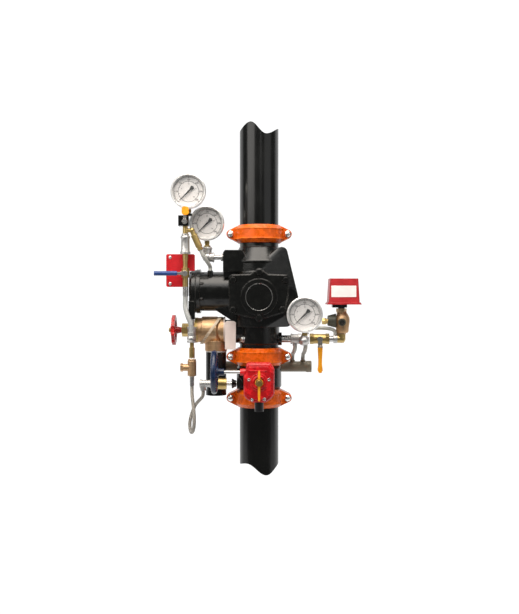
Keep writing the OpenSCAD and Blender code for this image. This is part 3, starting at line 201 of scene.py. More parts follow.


# The third colour of each enamel is its lighter edge colour: partly worn paint, partly a painted highlight.
black_cast = enamel("black_enamel_cast", (0.0030, 0.0033, 0.0028), (0.07, 0.06, 0.05), rough=0.15,
                    sand=0.0004, edge=0.003, wear_and_highlight=0.25, **{"Specular IOR Level": 0.5})
orange_cast = enamel("orange_enamel_cast", (0.74, 0.105, 0.001), (0.95, 0.38, 0.02), rough=0.25,
                     sand=0.0008, edge=0.0022, wear_and_highlight=0.4, deep=0.88, **{"Specular IOR Level": 0.35})
red_cast = enamel("red_enamel_cast", (0.58, 0.006, 0.010), (0.80, 0.10, 0.08), rough=0.24, sand=0.0006)
red_wheel = enamel("red_enamel_wheel", (0.46, 0.008, 0.006), (0.70, 0.08, 0.05), rough=0.30, sand=0.0008)
blue_cast = enamel("blue_enamel_cast", (0.004, 0.017, 0.060), (0.05, 0.11, 0.26), rough=0.22, sand=0.0005)
print("enamels:", [m.name for m in (black_cast, orange_cast, red_cast, red_wheel, blue_cast)])

# %% [markdown]
# Pipe is rolled, not cast, so its paint is smoother. It shows faint lines along its length where
# the mill scale was drawn out, which a noise gives when it is stretched along Z.

# %% Painted pipe and sheet metal
def pipe_paint(name, colour, stretch, rough=0.22, **constants):
    mat, w = start(name)
    soft, edges = edge_mask(w, 0.0012)
    drawn = noise(w, 90, 3, stretch=stretch)
    blotch = noise(w, 14, 3).between(0.35, 0.7)
    shade = (edges * 0.25).clip().tint(blotch.tint(colour, shaded(colour, 1.5)), (0.08, 0.07, 0.06))
    bumps = w.node("Bump", None, {"Distance": 0.0002, "Height": drawn + noise(w, 500) * 0.3, "Normal": soft})
    return finish(mat, w, shade, rough + drawn * 0.10 + blotch * 0.06, 0.0, bumps, **constants)


DULLER = {"Specular IOR Level": 0.4}
black_pipe = pipe_paint("black_pipe_paint", (0.0030, 0.0032, 0.0030), (1, 1, 0.04), 0.14, **DULLER)
black_drain = pipe_paint("black_drain_paint", (0.0035, 0.0045, 0.005), (1, 1, 0.04), 0.18, **DULLER)
olive_pipe = pipe_paint("olive_manifold_paint", (0.19, 0.168, 0.122), (0.04, 1, 1), 0.38)
grey_tube = pipe_paint("grey_tube_coat", (0.40, 0.40, 0.37), (1, 1, 0.2), 0.36)


def sheet_paint(name, colour, rough=0.4):
    mat, w = start(name)
    soft, edges = edge_mask(w, 0.001)
    tone = noise(w, 30, 3).between(0.35, 0.7)
    shade = (edges * 0.5).clip().tint(tone.tint(colour, shaded(colour, 1.12)), shaded(colour, 1.4, 0.05))
    bumps = w.node("Bump", None, {"Distance": 0.00012, "Height": noise(w, 1100, 2), "Normal": soft})
    return finish(mat, w, shade, rough + tone * 0.08, 0.0, bumps)


red_plate = sheet_paint("red_plate_paint", (0.54, 0.008, 0.014), 0.34)
label_white = sheet_paint("bare_label", (0.80, 0.76, 0.74), 0.5)
tag_card = sheet_paint("tag_card", (0.80, 0.68, 0.62), 0.7)
print("paints ready")

# %% [markdown]
# Bare metals. Hot-dip zinc freezes in crystals as it cools, which Voronoi cells give, each with
# its own grey and its own gloss. Cast bronze and brass tarnish in clouds and stay brighter on
# their edges. Plated steel is nearly even, and only its roughness drifts.

# %% Bare metals
def bare_metal(name, colour, dark, rough, grain=520, sand=0.0003, edge=0.0012, crystals=0.0, clear=0.5):
    mat, w = start(name)
    soft, edges = edge_mask(w, edge)
    clouds = noise(w, 26, 5, 0.6).between(0.3, 0.72)
    shade = (clouds * clear).tint(colour, dark)
    gloss = rough + clouds * 0.14
    if crystals:
        cell = w.node("TexVoronoi", None, {"Vector": place(w), "Scale": crystals}, out=1)
        flake = w.node("SeparateColor", None, {0: cell})
        shade = (flake * 0.35).tint(shade, shaded(colour, 0.72))
        gloss = gloss + flake * 0.16
    shade = (edges * 0.7).clip().tint(shade, shaded(colour, 1.3))
    bumps = w.node("Bump", None, {"Distance": sand, "Height": noise(w, grain, 4, 0.6), "Normal": soft})
    return finish(mat, w, shade, gloss, 1.0, bumps)


zinc = bare_metal("galvanized_iron", (0.68, 0.67, 0.65), (0.40, 0.40, 0.39), 0.30, crystals=260, grain=300,
                  sand=0.0005)
steel = bare_metal("plated_steel", (0.70, 0.69, 0.67), (0.48, 0.47, 0.45), 0.24, sand=0.00008, clear=0.35)
bolt_chrome = bare_metal("bright_bolt", (0.86, 0.85, 0.83), (0.62, 0.60, 0.58), 0.16, sand=0.00008, clear=0.3)
brass = bare_metal("cast_brass", (0.57, 0.415, 0.165), (0.30, 0.21, 0.08), 0.33)
bronze = bare_metal("cast_bronze", (0.64, 0.42, 0.24), (0.40, 0.24, 0.12), 0.40, grain=260, sand=0.0007, edge=0.0022)
iron = bare_metal("raw_iron", (0.30, 0.30, 0.30), (0.16, 0.15, 0.14), 0.5, grain=260, sand=0.0006)
print("metals ready")

# %% [markdown]
# Rubber, the gauges' dials and their lenses. A lens that refracts would keep the light off its
# own dial, so it is a clear sheet: mostly transparent, with the gloss of glass.

# %% Rubber, dials and lenses
def plain(name, colour, rough, scale=200, depth=0.0002, **constants):
    mat, w = start(name)
    tone = noise(w, scale, 3)
    shade = tone.tint(shaded(colour, 0.85), shaded(colour, 1.15))
    bumps = w.node("Bump", None, {"Distance": depth, "Height": tone})
    return finish(mat, w, shade, rough + tone * 0.1, 0.0, bumps, **constants)


rubber = plain("black_rubber", (0.016, 0.016, 0.016), 0.6)
dial_face = plain("dial_face", (0.84, 0.815, 0.80), 0.45, 60, 0.00003)
ink = plain("dial_ink", (0.012, 0.012, 0.013), 0.5)
ink_grey = plain("dial_ink_grey", (0.05, 0.048, 0.048), 0.5)
tape_white = plain("thread_tape", (0.82, 0.81, 0.78), 0.55, 500, 0.0004)
strap_beige = plain("strap", (0.62, 0.50, 0.36), 0.55, 300, 0.0003)
lens, w = start("gauge_lens")
finish(lens, w, (0.3, 0.31, 0.31), 0.04, Alpha=0.07)
lens.surface_render_method = "BLENDED"
print("rubber, dials and lenses ready")

# %% [markdown]
# Some castings are painted in part. The gearbox pointer has a yellow blade on a brass hub, three
# steel levers have a yellow or blue sleeve over their ends, the pressure switch stands on a black
# foot, and the stub under the gearbox is black. The gauges are steel on a brass stem, and the
# check body is bronze with a dark bell and plug. Every node's object stands
# at the frame's origin, so its Object coordinates are the CAD's own places in metres, and a mask
# on them divides the finish exactly where the paint stops.

# %% Finishes in two parts
def two_part(name, painted, bare, mask, rough=(0.34, 0.26), metal=(0.0, 1.0), fine=0.00015):
    """Paint where mask(x, y, z) is 1 and bare metal where it is 0."""
    mat, w = start(name)
    soft, edges = edge_mask(w, 0.001)
    where = mask(*axes(w)).clip()
    tone = noise(w, 60, 4).between(0.35, 0.7)
    paint = tone.tint(painted, shaded(painted, 1.2))
    metal_tone = tone.tint(bare, shaded(bare, 0.7))
    shade = (edges * 0.3).clip().tint(where.tint(metal_tone, paint), shaded(painted, 1.3, 0.02))
    bumps = w.node("Bump", None, {"Distance": fine, "Height": noise(w, 700, 3), "Normal": soft})
    return finish(mat, w, shade, (1 - where) * (rough[1] - rough[0]) + rough[0] + tone * 0.08,
                  (1 - where) * (metal[1] - metal[0]) + metal[0], bumps)


STEM_Z = 249.1
GAUGES = {"upper": (-202, -81, 786.6), "middle": (-152, -39, 699), "lower": (129, -112, 434.8)}


def outside_hub(x, y, z):
    """1 on the pointer's blade, 0 on the hub round the stem."""
    dz = z - STEM_Z * MM
    return (x * x + dz * dz).between(0.0098 ** 2, 0.0103 ** 2)


def on_stub(x, y, z):
    """1 on the stub under the gearbox: low down and near the pipe's axis."""
    return (1 - z.between(0.1930, 0.1945)) * (1 - (x * x).between(0.02 ** 2, 0.021 ** 2))


pointer_paint = two_part("pointer_yellow_on_brass", (0.88, 0.36, 0.012), (0.72, 0.50, 0.18), outside_hub)
cock_lever = two_part("cock_lever_sleeved", (0.86, 0.33, 0.008), (0.66, 0.65, 0.62),
                      lambda x, y, z: z.between(0.7165, 0.7175))
red_sheet = two_part("switch_red_on_black", (0.40, 0.014, 0.018), (0.006, 0.006, 0.007),
                     lambda x, y, z: z.between(0.4623, 0.4627), rough=(0.36, 0.3), metal=(0.0, 0.0))
alarm_lever = two_part("alarm_lever_sleeved", (0.86, 0.33, 0.008), (0.66, 0.65, 0.62),
                       lambda x, y, z: 1 - z.between(0.3362, 0.3372))
station_lever = two_part("station_lever_sleeved", (0.010, 0.045, 0.19), (0.72, 0.70, 0.66),
                         lambda x, y, z: 1 - x.between(-0.2340, -0.2330))
check_bronze = two_part("check_valve_parts", (0.075, 0.075, 0.055), (0.66, 0.45, 0.26),
                        lambda x, y, z: (1 - x.between(0.2255, 0.2275)) + (1 - y.between(-0.0210, -0.0205)),
                        rough=(0.42, 0.36), metal=(0.3, 1.0), fine=0.0005)


def round_each(x, z, spots, radius):
    """1 within the radius of any of the spots, seen from the front."""
    outside = 1.0
    for cx, cz in spots:
        dx, dz = x - cx * MM, z - cz * MM
        outside = (dx * dx + dz * dz).between((radius * MM) ** 2, (radius * MM + 0.0004) ** 2) * outside
    return 1 - outside


case_steel = two_part("gauge_steel_on_brass_stem", (0.84, 0.83, 0.81), (0.62, 0.44, 0.16),
                      lambda x, y, z: round_each(x, z, [(gx, gz) for gx, _, gz in GAUGES.values()], 51.6),
                      rough=(0.36, 0.28), metal=(0.85, 1.0), fine=0.00005)
nipple_steel = two_part("nipples_and_black_stub", (0.007, 0.007, 0.008), (0.66, 0.65, 0.63), on_stub)
print("two-part finishes ready")

# %% [markdown]
# A braided hose is a sleeve of fine wires that cross in diamonds. Two families of slanted waves
# round the tube, multiplied, give the diamonds. They need UVs that run along and round the
# hose, so the hose is built here as a mesh with its own UVs.

# %% Braid and plain hose
def braided(name, colour, dark, round_count, along_scale, rough=0.42, metal=0.55):
    mat, w = start(name)
    along, across, _ = axes(w, place(w, "UV"))
    one = (along * along_scale + across * (2 * math.pi * round_count)).sine()
    two = (along * along_scale - across * (2 * math.pi * round_count)).sine()
    weave = one * two * 0.5 + 0.5
    mask = weave.between(0.2, 0.8)
    shade = mask.tint(dark, colour)
    bumps = w.node("Bump", None, {"Distance": 0.0006, "Height": weave})
    return finish(mat, w, shade, rough + mask * 0.1, metal, bumps)


braid = braided("braided_hose", (0.47, 0.44, 0.39), (0.20, 0.18, 0.155), 6, 1900)
hose_grey = braided("grey_hose", (0.42, 0.43, 0.42), (0.33, 0.34, 0.33), 5, 900, 0.5, 0.1)
print("hose finishes ready")

# %% [markdown]
# The finishes go onto the CAD's own objects. Only the material slots change: the meshes and their
# places stay as the CAD made them, because the same solids move in the simulation.

# %% Finish for every CAD node
FINISHES = {
    black_pipe: ["riser_lower", "riser_upper"],
    black_cast: ["valve_body", "access_cover", "chamber_cover", "butterfly_body", "nameplate", "housing_bolts",
                 "gauge_cock"],
    black_drain: ["drain_pipe"],
    orange_cast: ["coupling_front_halves", "coupling_rear_halves"],
    red_cast: ["gearbox_case", "gearbox_cover"],
    red_wheel: ["drain_handwheel"],
    red_sheet: ["switch_base", "switch_cover"],
    red_plate: ["station_plate"],
    blue_cast: ["gearbox_handwheel"],
    station_lever: ["station_handle"],
    alarm_lever: ["alarm_handle"],
    check_bronze: ["alarm_check"],
    cock_lever: ["gauge_cock_handle"],
    pointer_paint: ["position_pointer"],
    rubber: ["rubber_gaskets", "clapper_facing", "diaphragm"],
    bolt_chrome: ["coupling_bolts", "gearbox_screws"],
    steel: ["push_rod", "butterfly_stem", "worm_shaft", "pivot_pins", "strainer_screen"],
    nipple_steel: ["steel_nipples"],
    case_steel: ["gauge_cases"],
    iron: ["clapper", "butterfly_disc"],
    zinc: ["galvanized_fittings"],
    brass: ["seat_ring", "latch_lever", "worm_wheel", "drain_bonnet", "drain_stem", "station_valve", "alarm_valve",
            "brass_fittings"],
    bronze: ["drain_valve_body", "drain_disc", "strainer_body"],
    olive_pipe: ["drain_manifold"],
    grey_tube: ["drip_tubes", "chamber_hose", "loop_hose"],
    tag_card: ["hang_tag"],
    dial_face: ["gauge_dials"],
    lens: ["gauge_lenses"],
    ink: ["gauge_pointer_upper", "gauge_pointer_middle", "gauge_pointer_lower"],
}
for finish_used, names in FINISHES.items():
    for name in names:
        mesh = node[name].data
        mesh.materials.clear()
        mesh.materials.append(finish_used)
        mesh.shade_smooth()
        mesh.set_sharp_from_angle(angle=math.radians(32))
print("finished nodes:", sum(len(v) for v in FINISHES.values()))

# %% [markdown]
# Helpers for the small pieces. A piece is a mesh object with a finish and the body that it rides
# on. Revolved rings and swept tubes cover nearly all of them.

# %% Mesh helpers
def piece(name, mesh, finish_used, body="riser", smooth=40):
    ob = bpy.data.objects.new(name, mesh)
    bpy.context.scene.collection.objects.link(ob)
    mesh.materials.append(finish_used)
    mesh.shade_smooth()
    mesh.set_sharp_from_angle(angle=math.radians(smooth))
    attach(ob, body)
    return ob


def to_mesh(bm, name, mend=True):
    """Turns a bmesh into a mesh, with its faces pointing outwards."""
    if mend:
        bmesh.ops.recalc_face_normals(bm, faces=bm.faces)
    mesh = bpy.data.meshes.new(name)
    bm.to_mesh(mesh)
    bm.free()
    return mesh


def join_rows(bm, here, there, count):
    """Faces between two rows of points, the last point joined to the first again."""
    for i in range(count):
        j = (i + 1) % len(here)
        bm.faces.new((here[i], here[j], there[j], there[i]))


def moved(mesh, spot, *turns):
    """Turns a mesh about the origin, then sets it at a spot in millimetres."""
    place_there = Matrix.Translation(Vector(spot) * MM)
    for turn in turns:
        place_there = place_there @ turn
    mesh.transform(place_there)
    return mesh


def revolve(profile, sides=64, closed=True):
    """A mesh turned about Z from (radius, height) points, in metres."""
    bm = bmesh.new()
    rings = []
    for k in range(sides):
        a = 2 * math.pi * k / sides
        rings.append([bm.verts.new((r * math.cos(a), r * math.sin(a), z)) for r, z in profile])
    count = len(profile)
    for k in range(sides):
        join_rows(bm, rings[k], rings[(k + 1) % sides], count if closed else count - 1)
    return to_mesh(bm, "turned")


def smooth_route(points, each=6):
    """A Catmull-Rom curve through the points."""
    p = [Vector(q) for q in points]
    p = [2 * p[0] - p[1]] + p + [2 * p[-1] - p[-2]]
    out = []
    for i in range(1, len(p) - 2):
        a, b, c, d = p[i - 1:i + 3]
        for k in range(each):
            t = k / each
            out.append(0.5 * (2 * b + (c - a) * t + (2 * a - 5 * b + 4 * c - d) * t * t
                              + (3 * b - a - 3 * c + d) * t ** 3))
    return out + [p[-2]]


def tube(points, radius, sides=20):
    """A tube along a route, with UVs: U runs along it in metres, V once round it."""
    bm = bmesh.new()
    uv = bm.loops.layers.uv.new("UVMap")
    up = (points[1] - points[0]).orthogonal().normalized()
    rings, run, far = [], [], 0.0
    for i, p in enumerate(points):
        ahead = points[min(i + 1, len(points) - 1)] - points[max(i - 1, 0)]
        ahead.normalize()
        up = (up - ahead * up.dot(ahead)).normalized()
        side = ahead.cross(up)
        if i:
            far += (p - points[i - 1]).length
        run.append(far)
        rings.append([bm.verts.new(p + radius * (math.cos(2 * math.pi * k / sides) * up
                                                 + math.sin(2 * math.pi * k / sides) * side)) for k in range(sides)])
    for i in range(len(points) - 1):
        for k in range(sides):
            j = (k + 1) % sides
            face = bm.faces.new((rings[i][k], rings[i][j], rings[i + 1][j], rings[i + 1][k]))
            for loop, (s, t) in zip(face.loops, ((run[i], k), (run[i], k + 1), (run[i + 1], k + 1), (run[i + 1], k))):
                loop[uv].uv = (s, t / sides)
    bm.faces.new(rings[0][::-1])
    bm.faces.new(rings[-1])
    return to_mesh(bm, "tube", mend=False), far


def metres(route):
    return [Vector((x * MM, y * MM, z * MM)) for x, y, z in route]

print("mesh helpers ready")

# %% [markdown]
# The two hoses. One is a braided loop that feeds the strainer from the supply side of the
# butterfly valve, the other a plain grey hose from the emergency station to the push rod
# chamber's line. Their routes repeat the CAD's points, so the smooth tube lies where the solid
# does, and both go back into the object at their far ends.

# %% Hoses
LOOP_ROUTE = [(-194, -54, 228), (-194, -54, 216), (-193, -60, 200), (-190, -71, 182),
              (-187, -82, 163), (-185, -89, 143), (-185, -90, 122), (-188, -81, 105), (-193, -64, 95),
              (-198, -44, 93), (-202, -25, 99), (-204, -11, 113), (-201, -5, 132), (-195, -7, 150),
              (-188, -14, 166), (-179, -26, 178), (-170, -38, 188), (-164, -47, 196), (-162, -50, 205),
              (-162, -50, 214)]
CHAMBER_ROUTE = [(-212, -62, 488), (-212, -62, 474), (-212, -65, 458), (-208, -71, 441),
                 (-202, -76, 425), (-196, -78, 410), (-194, -78, 396), (-194, -78, 384)]
for name, route, across, finish_used, slot in (
        ("loop_hose_braided", LOOP_ROUTE, 10, braid, "braid"),
        ("chamber_hose_grey", CHAMBER_ROUTE, 14, hose_grey, "grey_hose")):
    line = smooth_route(metres(route))
    mesh, length = tube(line, across / 2 * MM)
    hose = piece(name, mesh, finish_used)
    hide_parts(name[:name.index("hose") + 4])
    across * MM
    print(name, "length", round(length, 3))

# %% [markdown]
# The grey drip tubes and the arch over the ball valve are bent metal tube. In the CAD they have
# eight sides, and here the same routes get twenty.

# %% Bent tubes
TUBE_ROUTES = [
    [(106, 0, 341), (106, 0, 335), (105, 8, 327), (103, 28, 319), (102, 52, 314), (102, 74, 308),
     (102, 88, 299), (102, 88, 291)],
    [(137, 0, 341), (137, 0, 335), (136, 8, 327), (135, 28, 319), (134, 52, 314), (134, 74, 308),
     (134, 88, 299), (134, 88, 291)],
    [(140, 0, 379), (140, 0, 383), (145, 0, 389), (158, 0, 392), (182, 0, 393), (206, 0, 391),
     (219, 0, 387), (224.5, 0, 381), (224.5, 0, 374.5)],
    [(-167.78, -62, 619.36), (-165.34, -62, 613.88), (-161, -60, 604), (-155, -55, 594),
     (-149, -48, 585), (-144, -41, 577), (-142, -36, 570), (-142, -36, 561)]]
bent = []
for route, r in zip(TUBE_ROUTES, (6.0, 6.0, 5.2, 5.5)):
    mesh, _ = tube(smooth_route(metres(route)), r * MM)
    bent.append(mesh)
bm = bmesh.new()
for mesh in bent:
    bm.from_mesh(mesh)
tubes = piece("bent_tubes", to_mesh(bm, "bent_tubes", mend=False), grey_tube)
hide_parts("drip_tubes")
print("bent tubes:", len(bent))

# %% [markdown]
# A gauge's dial is printed: a long outer scale of fine ticks, a ring inside it, and round
# numbers. The marks are thin flat meshes a hair above the dial. Numbers on a dial are generic,
# so they are plain even steps, and nothing else is written.

# %% Gauge marks
DIAL_Y = 12.85


def flat_quads(quads, y):
    """Flat four-sided marks in the XZ plane at one depth."""
    bm = bmesh.new()
    for quad in quads:
        bm.faces.new([bm.verts.new((x * MM, y * MM, z * MM)) for x, z in quad])
    return to_mesh(bm, "marks", mend=False)


def tick(angle, r0, r1, width):
    """A mark that points outwards. Angle 0 is up, and angles run clockwise, as on a clock."""
    a = math.radians(angle)
    out, side = (math.sin(a), math.cos(a)), (math.cos(a), -math.sin(a))
    return [(r * out[0] + s * width / 2 * side[0], r * out[1] + s * width / 2 * side[1])
            for r, s in ((r0, -1), (r0, 1), (r1, 1), (r1, -1))]


def arc(r, width, first, last, steps=72):
    turn = [first + (last - first) * k / steps for k in range(steps + 1)]
    at = lambda q, rr: (rr * math.sin(math.radians(q)), rr * math.cos(math.radians(q)))
    return [[at(a, r - width / 2), at(b, r - width / 2), at(b, r + width / 2), at(a, r + width / 2)]
            for a, b in zip(turn, turn[1:])]


def numbers(values, r, size):
    """Numbers round the dial, as one mesh."""
    bm = bmesh.new()
    for k, value in enumerate(values):
        a = math.radians(-135 + 270 * k / (len(values) - 1))
        curve = bpy.data.curves.new("number", "FONT")
        curve.body, curve.size = str(value), size * MM
        curve.align_x, curve.align_y, curve.offset = "CENTER", "CENTER", 0.00012
        ob = bpy.data.objects.new("number", curve)
        bpy.context.scene.collection.objects.link(ob)
        bpy.context.view_layer.update()
        flat = bpy.data.meshes.new_from_object(ob.evaluated_get(bpy.context.evaluated_depsgraph_get()))
        spot = Vector((math.sin(a), 0, math.cos(a))) * r * MM
        flat.transform(Matrix.Translation(spot) @ Matrix.Rotation(math.pi / 2, 4, "X"))
        bm.from_mesh(flat)
        bpy.data.objects.remove(ob)
    return bm


for name, (x, y, z) in GAUGES.items():
    quads = arc(42.2, 0.9, -135, 135) + arc(29.5, 1.1, -180, 180, 96)
    quads += [tick(-135 + 4.5 * k, *((39.6, 42.2, 0.7) if k % 10 else (37.6, 42.2, 1.4))) for k in range(61)]
    quads += [tick(-135 + 33.75 * k, 26.0, 29.5, 0.9) for k in range(9)]
    marks = flat_quads(quads, DIAL_Y)
    bm = numbers([0, 50, 100, 150, 200, 250, 300], 33.6, 6.2)
    inner = numbers([0, 5, 10, 15, 20], 21.6, 4.6)
    for v in [*bm.verts, *inner.verts]:
        v.co.y = DIAL_Y * MM
    bm.from_mesh(to_mesh(inner, "inner", mend=False))
    bm.from_mesh(marks)
    mesh = moved(to_mesh(bm, "dial_marks", mend=False), (x, y, z))
    piece("dial_marks_" + name, mesh, ink_grey)
print("dials marked:", list(GAUGES))

# %% [markdown]
# The nameplate's printed ring, the bare label on the pressure switch and the thread tape at the
# drain's outlet. Each place stays bare, as the part carries no words.

# %% Nameplate ring, bare label and tape
TO_FRONT = Matrix.Rotation(math.pi / 2, 4, "X")
NAMEPLATE_FACE = (0, -103.5, 484.5)
ring = revolve([(37.2 * MM, 0), (38.2 * MM, 0), (38.2 * MM, 0.25 * MM), (37.2 * MM, 0.25 * MM)], 96)
moved(ring, NAMEPLATE_FACE, TO_FRONT)
piece("nameplate_ring", ring, steel)


def rounded_plate(w, h, corner, thick, steps=6):
    """A flat plate in XZ with round corners, its back at Y = 0 and its face at -thick."""
    bm = bmesh.new()
    line = []
    for cx, cz, first in ((1, 1, 0), (-1, 1, 90), (-1, -1, 180), (1, -1, 270)):
        for k in range(steps + 1):
            a = math.radians(first + 90 * k / steps)
            line.append((cx * (w / 2 - corner) + corner * math.cos(a),
                         cz * (h / 2 - corner) + corner * math.sin(a)))
    back = [bm.verts.new((x * MM, 0, z * MM)) for x, z in line]
    front = [bm.verts.new((x * MM, -thick * MM, z * MM)) for x, z in line]
    bm.faces.new(back)
    bm.faces.new(front[::-1])
    join_rows(bm, back, front, len(line))
    return to_mesh(bm, "plate")


label = rounded_plate(72.5, 33.4, 2.0, 0.5)
COVER_LEAN = Matrix.Rotation(math.atan2(-4, 69), 4, "X")
moved(label, (246, -40.05, 500.8), COVER_LEAN)
piece("switch_label_bare", label, label_white)


def tape_ring(name, radius, spot, tall=4.0):
    """White thread tape that shows round a pipe where it enters a fitting."""
    r = radius * MM
    ring = revolve([(r, 0), (r + 0.7 * MM, 0.1 * tall * MM), (r + 0.5 * MM, 0.8 * tall * MM), (r, tall * MM)], 48)
    for v in ring.vertices:
        a = math.atan2(v.co.y, v.co.x)
        v.co.z += 0.1 * tall * MM * math.sin(5 * a) * (1 if v.co.z < tall * MM / 2 else 0.2)
    return piece(name, moved(ring, spot), tape_white)


tape_ring("tape_drain", 30.2, (-127, 0, 322.4))
tape_ring("tape_strainer_top", 8.25, (-194, -54, 305.2), 3.4)
tape_ring("tape_strainer_foot", 6.55, (-194, -54, 253.4), 3.4)
print("ring, label and tape ready")

# %% [markdown]
# The inspection tag's strap goes once round the bronze drain valve on a slant. A strap that is
# pulled tight touches the high places and bridges the low ones. So a ring of rays is cast at the
# casting, along the slanted plane, and the strap takes each ray's hit, or its neighbours' when
# they stand higher. A small steel plug closes the test port on the valve's neck.

# %% Tag strap and neck plug
def strap_round(target, centre, slant, wide, thick, steps=120):
    """A flat strap round a casting whose axis is X, in a plane that leans by slant."""
    across = (-0.5, 0.0, 0.5)
    cx, cy, cz = (c * MM for c in centre)
    reach = []
    for k in range(steps):
        a = 2 * math.pi * k / steps
        row = []
        for s in across:
            x = cx + slant * MM * math.sin(a) + s * wide * MM
            out = Vector((0, -math.cos(a), math.sin(a)))
            hit, where, _, _ = target.ray_cast(Vector((x, cy, cz)) + out * 0.09, -out, distance=0.08)
            row.append((where - Vector((x, cy, cz))).dot(out) if hit else 0.03)
        reach.append(max(row))
    tight = [max(reach[(k + d) % steps] * math.cos(2 * math.pi * abs(d) / steps) for d in range(-14, 15))
             for k in range(steps)]
    bm = bmesh.new()
    rings = []
    section = ((-0.5, 0.15), (0.5, 0.15), (0.5, 0.15 + thick), (0.38, 0.25 + thick),
               (-0.38, 0.25 + thick), (-0.5, 0.15 + thick))
    for k in range(steps):
        a = 2 * math.pi * k / steps
        out = Vector((0, -math.cos(a), math.sin(a)))
        x = cx + slant * MM * math.sin(a)
        rings.append([bm.verts.new(Vector((x + s * wide * MM, cy, cz)) + out * (tight[k] + lift * MM))
                      for s, lift in section])
    for k in range(steps):
        join_rows(bm, rings[k], rings[(k + 1) % steps], 6)
    return to_mesh(bm, "strap")


strap = strap_round(node["drain_valve_body"], (-141, 0, 387), 29, 9.5, 0.8)
piece("tag_strap", strap, strap_beige)
PLUG_PROFILE = [(0.1, 0), (9.6, 0), (9.6, 1.6), (8.4, 2.0), (8.4, 7.0), (7.2, 8.4), (0.1, 8.6)]
TO_RIGHT = Matrix.Rotation(math.pi / 2, 4, "Y")
PLUG_TURN = Matrix.Rotation(math.radians(180 + 38), 4, "Z")
plug = revolve([(r * MM, h * MM) for r, h in PLUG_PROFILE], 24)
moved(plug, (-46.5, -36.3, 361.3), PLUG_TURN, TO_RIGHT)
piece("neck_plug", plug, bolt_chrome)
print("strap and plug ready")

# %% [markdown]
# The gearbox cover is one thick casting with a rolled edge, a raised face and two rings round
# the stem. Slabs with a Bevel modifier give the cast edges that a plain extrusion lacks. They
# are drawn over the same screws and stem as the CAD's cover, which they stand for.

# %% Gearbox cover
UP, RIGHT, LEFT, FRONT = (0, 0, 1), (1, 0, 0), (-1, 0, 0), (0, -1, 0)
WORM_SPOT = (-37, -140, 275.58)
COVER_LINE = [(-41, 214), (-41, 264), (-35.5, 272), (-35.5, 294), (-30, 300), (30, 300),
              (41, 284), (41, 216), (31, 203), (17, 193.5), (-17, 193.5), (-34, 203)]


def slab(name, line, back, front, edge, finish_used, slot, inset=0.0, body="riser"):
    """A cast slab between two depths, its outline in XZ in millimetres."""
    mid = Vector((sum(x for x, _ in line) / len(line), sum(z for _, z in line) / len(line)))
    bm = bmesh.new()
    rows = []
    for y in (back, front):
        row = []
        for x, z in line:
            away = Vector((x, z)) - mid
            away -= away.normalized() * inset
            row.append(bm.verts.new(((mid.x + away.x) * MM, y * MM, (mid.y + away.y) * MM)))
        rows.append(row)
    bm.faces.new(rows[0])
    bm.faces.new(rows[1][::-1])
    join_rows(bm, rows[0], rows[1], len(line))
    ob = piece(name, to_mesh(bm, name), finish_used, body, smooth=60)
    soft = ob.modifiers.new("cast_edge", "BEVEL")
    soft.width, soft.segments, soft.limit_method, soft.angle_limit = edge * MM, 4, "ANGLE", math.radians(20)
    return ob


def turned(name, profile, spot, axis, finish_used, slot, sides=64, body="riser", closed=True):
    """A ring or boss turned about an axis through a spot, all in millimetres."""
    mesh = revolve([(r * MM, h * MM) for r, h in profile], sides, closed)
    moved(mesh, spot, Vector(axis).to_track_quat("Z", "Y").to_matrix().to_4x4())
    return piece(name, mesh, finish_used, body)


RED = (red_cast, "red_enamel")
cover = slab("gear_cover_cast", COVER_LINE, -150, -160.5, 4.0, *RED)
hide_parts("gearbox_cover")
case = slab("gear_case_cast", COVER_LINE, -109, -149.5, 3.0, *RED, inset=-2.5)
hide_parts("gearbox_case")
turned("gear_case_boss", [(7, 0), (9.5, 0), (9.5, 14), (8.8, 16), (7, 16)], WORM_SPOT, LEFT, *RED)
slab("gear_cover_face", COVER_LINE, -160, -163.5, 1.6, *RED, inset=8)
RINGS = [(10, 0), (25, 0), (25, 1.6), (23.5, 2.4), (21.5, 1.2), (19.5, 1.2), (18.5, 4.6), (16.5, 5.5),
         (14.5, 4.6), (13.5, 1.5), (10, 1.5)]
turned("gear_cover_rings", RINGS, (0, -162.5, STEM_Z), FRONT, *RED, 72)
RIB_LINE = [(-27, 279.5), (-27, 282.5), (21, 282.5), (21, 279.5)]
slab("gear_cover_rib", RIB_LINE, -162.5, -165, 0.9, *RED)
print("gearbox cover ready")

# %% [markdown]
# The trim's fittings are cast thicker than the pipes they join, and each mouth has a rolled
# bead. These beads and bodies go over the plain cylinders of the CAD: the elbow under the
# middle gauge, the reducer over the station valve, and the black cup where the supply line
# enters the butterfly valve. The check body by the pressure switch gets its bulb, nut and plug.
# The red plate is held by two round-headed screws, and the tag is a bare card on a loop.

# %% Fitting bodies
ZINC, BLACK = (zinc, "zinc"), (black_cast, "black_enamel")


def ball(radius, half_height):
    """The profile of a ball, or of an egg, for turned()."""
    angles = [math.radians(a) for a in range(15, 166, 15)]
    return [(0.2, -half_height), *((radius * math.sin(a), -half_height * math.cos(a)) for a in angles),
            (0.2, half_height)]


